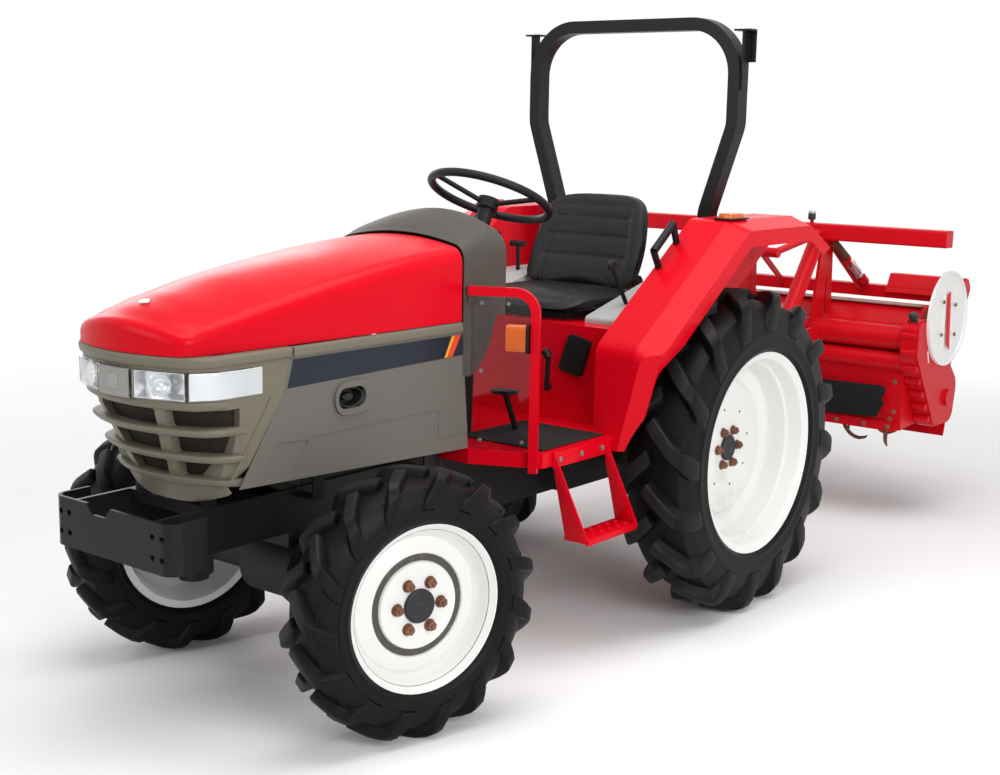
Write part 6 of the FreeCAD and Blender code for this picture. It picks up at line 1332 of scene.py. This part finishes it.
# Along a blade: how far out, how far curved back and how far turned over.
blade_line = []
for k in range(BLADE_STATIONS + 1):
    share = k / BLADE_STATIONS
    reach = BLADE_ROOT + (rotor_reach - 57) * (1 - (1 - share) ** 1.5)
    blade_line.append((reach, BLADE_CURL * share ** 1.7, BLADE_TURNOVER * max(0.0, share - 0.5) ** 1.25 / 0.42))
rows = []
for k, (reach, angle, over) in enumerate(blade_line):
    before, after = blade_line[max(0, k - 1)], blade_line[min(BLADE_STATIONS, k + 1)]
    lean = math.atan2(after[2] - before[2], after[0] - before[0])
    wide = (26 + 8 * k / BLADE_STATIONS) * (0.55 if k == BLADE_STATIONS else 1)
    row = []
    for side, thick in ((-1, -BLADE_THICK), (-1, BLADE_THICK), (1, BLADE_THICK), (1, -BLADE_THICK), (-1, -BLADE_THICK)):
        far = reach - thick * math.sin(lean)
        turn = angle + side * wide / max(far, 60) * 0.5
        row.append((far * math.sin(turn) / 1000, (over + thick * math.cos(lean)) / 1000, far * math.cos(turn) / 1000))
    rows.append(row)
blade = laid("blade", rows)
bpy.ops.object.mode_set(mode="EDIT")
bpy.ops.mesh.select_all(action="SELECT")
bpy.ops.mesh.remove_doubles(threshold=DOUBLES)
bpy.ops.mesh.select_all(action="DESELECT")
bpy.ops.mesh.select_non_manifold()
bpy.ops.mesh.edge_face_add()
bpy.ops.mesh.select_all(action="SELECT")
bpy.ops.mesh.fill_holes(sides=8)
closed_up()
tube = spun("rotor_tube", [(-545, 0), (-545, 38), (545, 38), (545, 0)], steps=40)
flange = spun("flange", [(-5, 36), (-5, 76), (5, 76), (5, 36)], steps=32)
hub = Matrix.Translation((rotor_x, 0, rotor_z))
tube.data.transform(hub)
parts = [tube]
for i in range(FLANGES):
    y = (i - (FLANGES - 1) / 2) * FLANGE_STEP
    parts.append(copied(flange, hub @ Matrix.Translation((0, y / 1000, 0))))
    for k in range(BLADES):
        hand = 1 if k % 2 else -1
        turn = Matrix.Rotation(math.radians(360 / BLADES * k + FLANGE_STAGGER * i + 12), 4, "Y")
        parts.append(copied(blade, hub @ Matrix.Translation((0, (y + 8 * hand) / 1000, 0)) @ turn
                            @ Matrix.Scale(hand, 4, (0, 1, 0))))
for pattern in (flange, blade):
    bpy.data.objects.remove(pattern)
rotor = joined("curved_blade_rotor", parts)
settled(rotor, "tiller_rotor", rusty_steel, smooth=35)
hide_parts("tiller_rotor")

# ------------------------------------------------------------------ bodywork of red sheet
# Folded steel fenders, floor and seat deck and bent guard hoops of square tube, all in the same
# bright red enamel as the bonnet; the side panels below the bonnet are taupe.

painted(red_enamel, "fenders", "floor", "guard_hoops", "seat_deck", "steps")
taupe_enamel = finish_of("taupe_enamel", (0.142, 0.132, 0.116), 0.42, grain=0.05, grain_size=150, vary=0.05,
                         edge=0.0015)
painted(taupe_enamel, "side_panels")
painted(amber_lens, "amber_lamps")

# ------------------------------------------------------------------ roll bar, frame and linkage
# Bent square tube, welded plate brackets, hitch arms and a turned tie rod, all painted satin black
# over steel, with the paint thin on their corners.

black_enamel = finish_of("black_enamel", (0.007, 0.007, 0.008), 0.40, grain=0.08, grain_size=160, vary=0.15,
                         edge=0.0015, gloss=0.2)
painted(black_enamel, "front_bracket", "front_frame", "grab_handles", "lift_arms", "lift_rods", "lower_links",
        "roll_bar", "tie_rod")

# ------------------------------------------------------------------ engine, gear case and front axle
# Sand castings under thick black paint, rough to the touch, with dust in their hollows and rust
# where stones have chipped them.

cast_iron = finish_of("painted_casting", (0.010, 0.010, 0.011), 0.55, grain=0.5, grain_size=220, vary=0.2,
                      spots=(0.12, 0.075, 0.05), spot_share=0.06, edge=0.003, dust=(0.05, 0.045, 0.04), dust_share=0.12)
painted(cast_iron, "engine_block", "front_axle", "gear_case", "knuckle_left", "knuckle_right")

# ------------------------------------------------------------------ drive shaft and top link
# The shaft's tube and forks and the link's screw and sleeve are bare forged and turned steel, dull
# with handling and browned by rust.

bare_steel = finish_of("bare_steel", (0.30, 0.28, 0.26), 0.45, grain=0.2, grain_size=150, spots=(0.16, 0.07, 0.035),
                       spot_share=0.12, metal=0.8, vary=0.12, edge=0.002)
painted(bare_steel, "drive_shaft", "top_link")

# ------------------------------------------------------------------ controls and consoles
# The steering wheel, its column, the levers and pedals and the seat's pan are black plastic and
# dipped steel with a soft sheen; the two consoles beside the seat are pale grey moulded covers.

black_moulding = finish_of("black_moulding", (0.010, 0.010, 0.011), 0.45, grain=0.1, grain_size=300, vary=0.1,
                           edge=0.002, gloss=0.2)
painted(black_moulding, "controls", "seat_base", "steering_post", "steering_wheel")
pale_grey = finish_of("pale_grey", (0.42, 0.43, 0.43), 0.5, grain=0.08, grain_size=300, vary=0.04, edge=0.002)
painted(pale_grey, "consoles")

# ------------------------------------------------------------------ tiller's body
# The tiller's beam, hood, cover, chain case and axle tube wear the same red, duller and chipped to
# rust by stones; the guard disc is white. Solids under finer rims, tyres and mats match those.

worn_red = finish_of("worn_red_enamel", (0.58, 0.004, 0.011), 0.34, grain=0.1, grain_size=90, spots=(0.10, 0.045, 0.03),
                     spot_share=0.03, vary=0.08, edge=0.0015, gloss=0.13)
painted(worn_red, "chain_case", "tiller_axle_tube", "tiller_frame", "tiller_hood", "tiller_rear_cover")
painted(white_enamel, "side_disc", "front_rim_left", "front_rim_right", "rear_rim_left", "rear_rim_right")
painted(mat_rubber, "floor_mat", "front_tyre_left", "front_tyre_right", "rear_tyre_left", "rear_tyre_right")
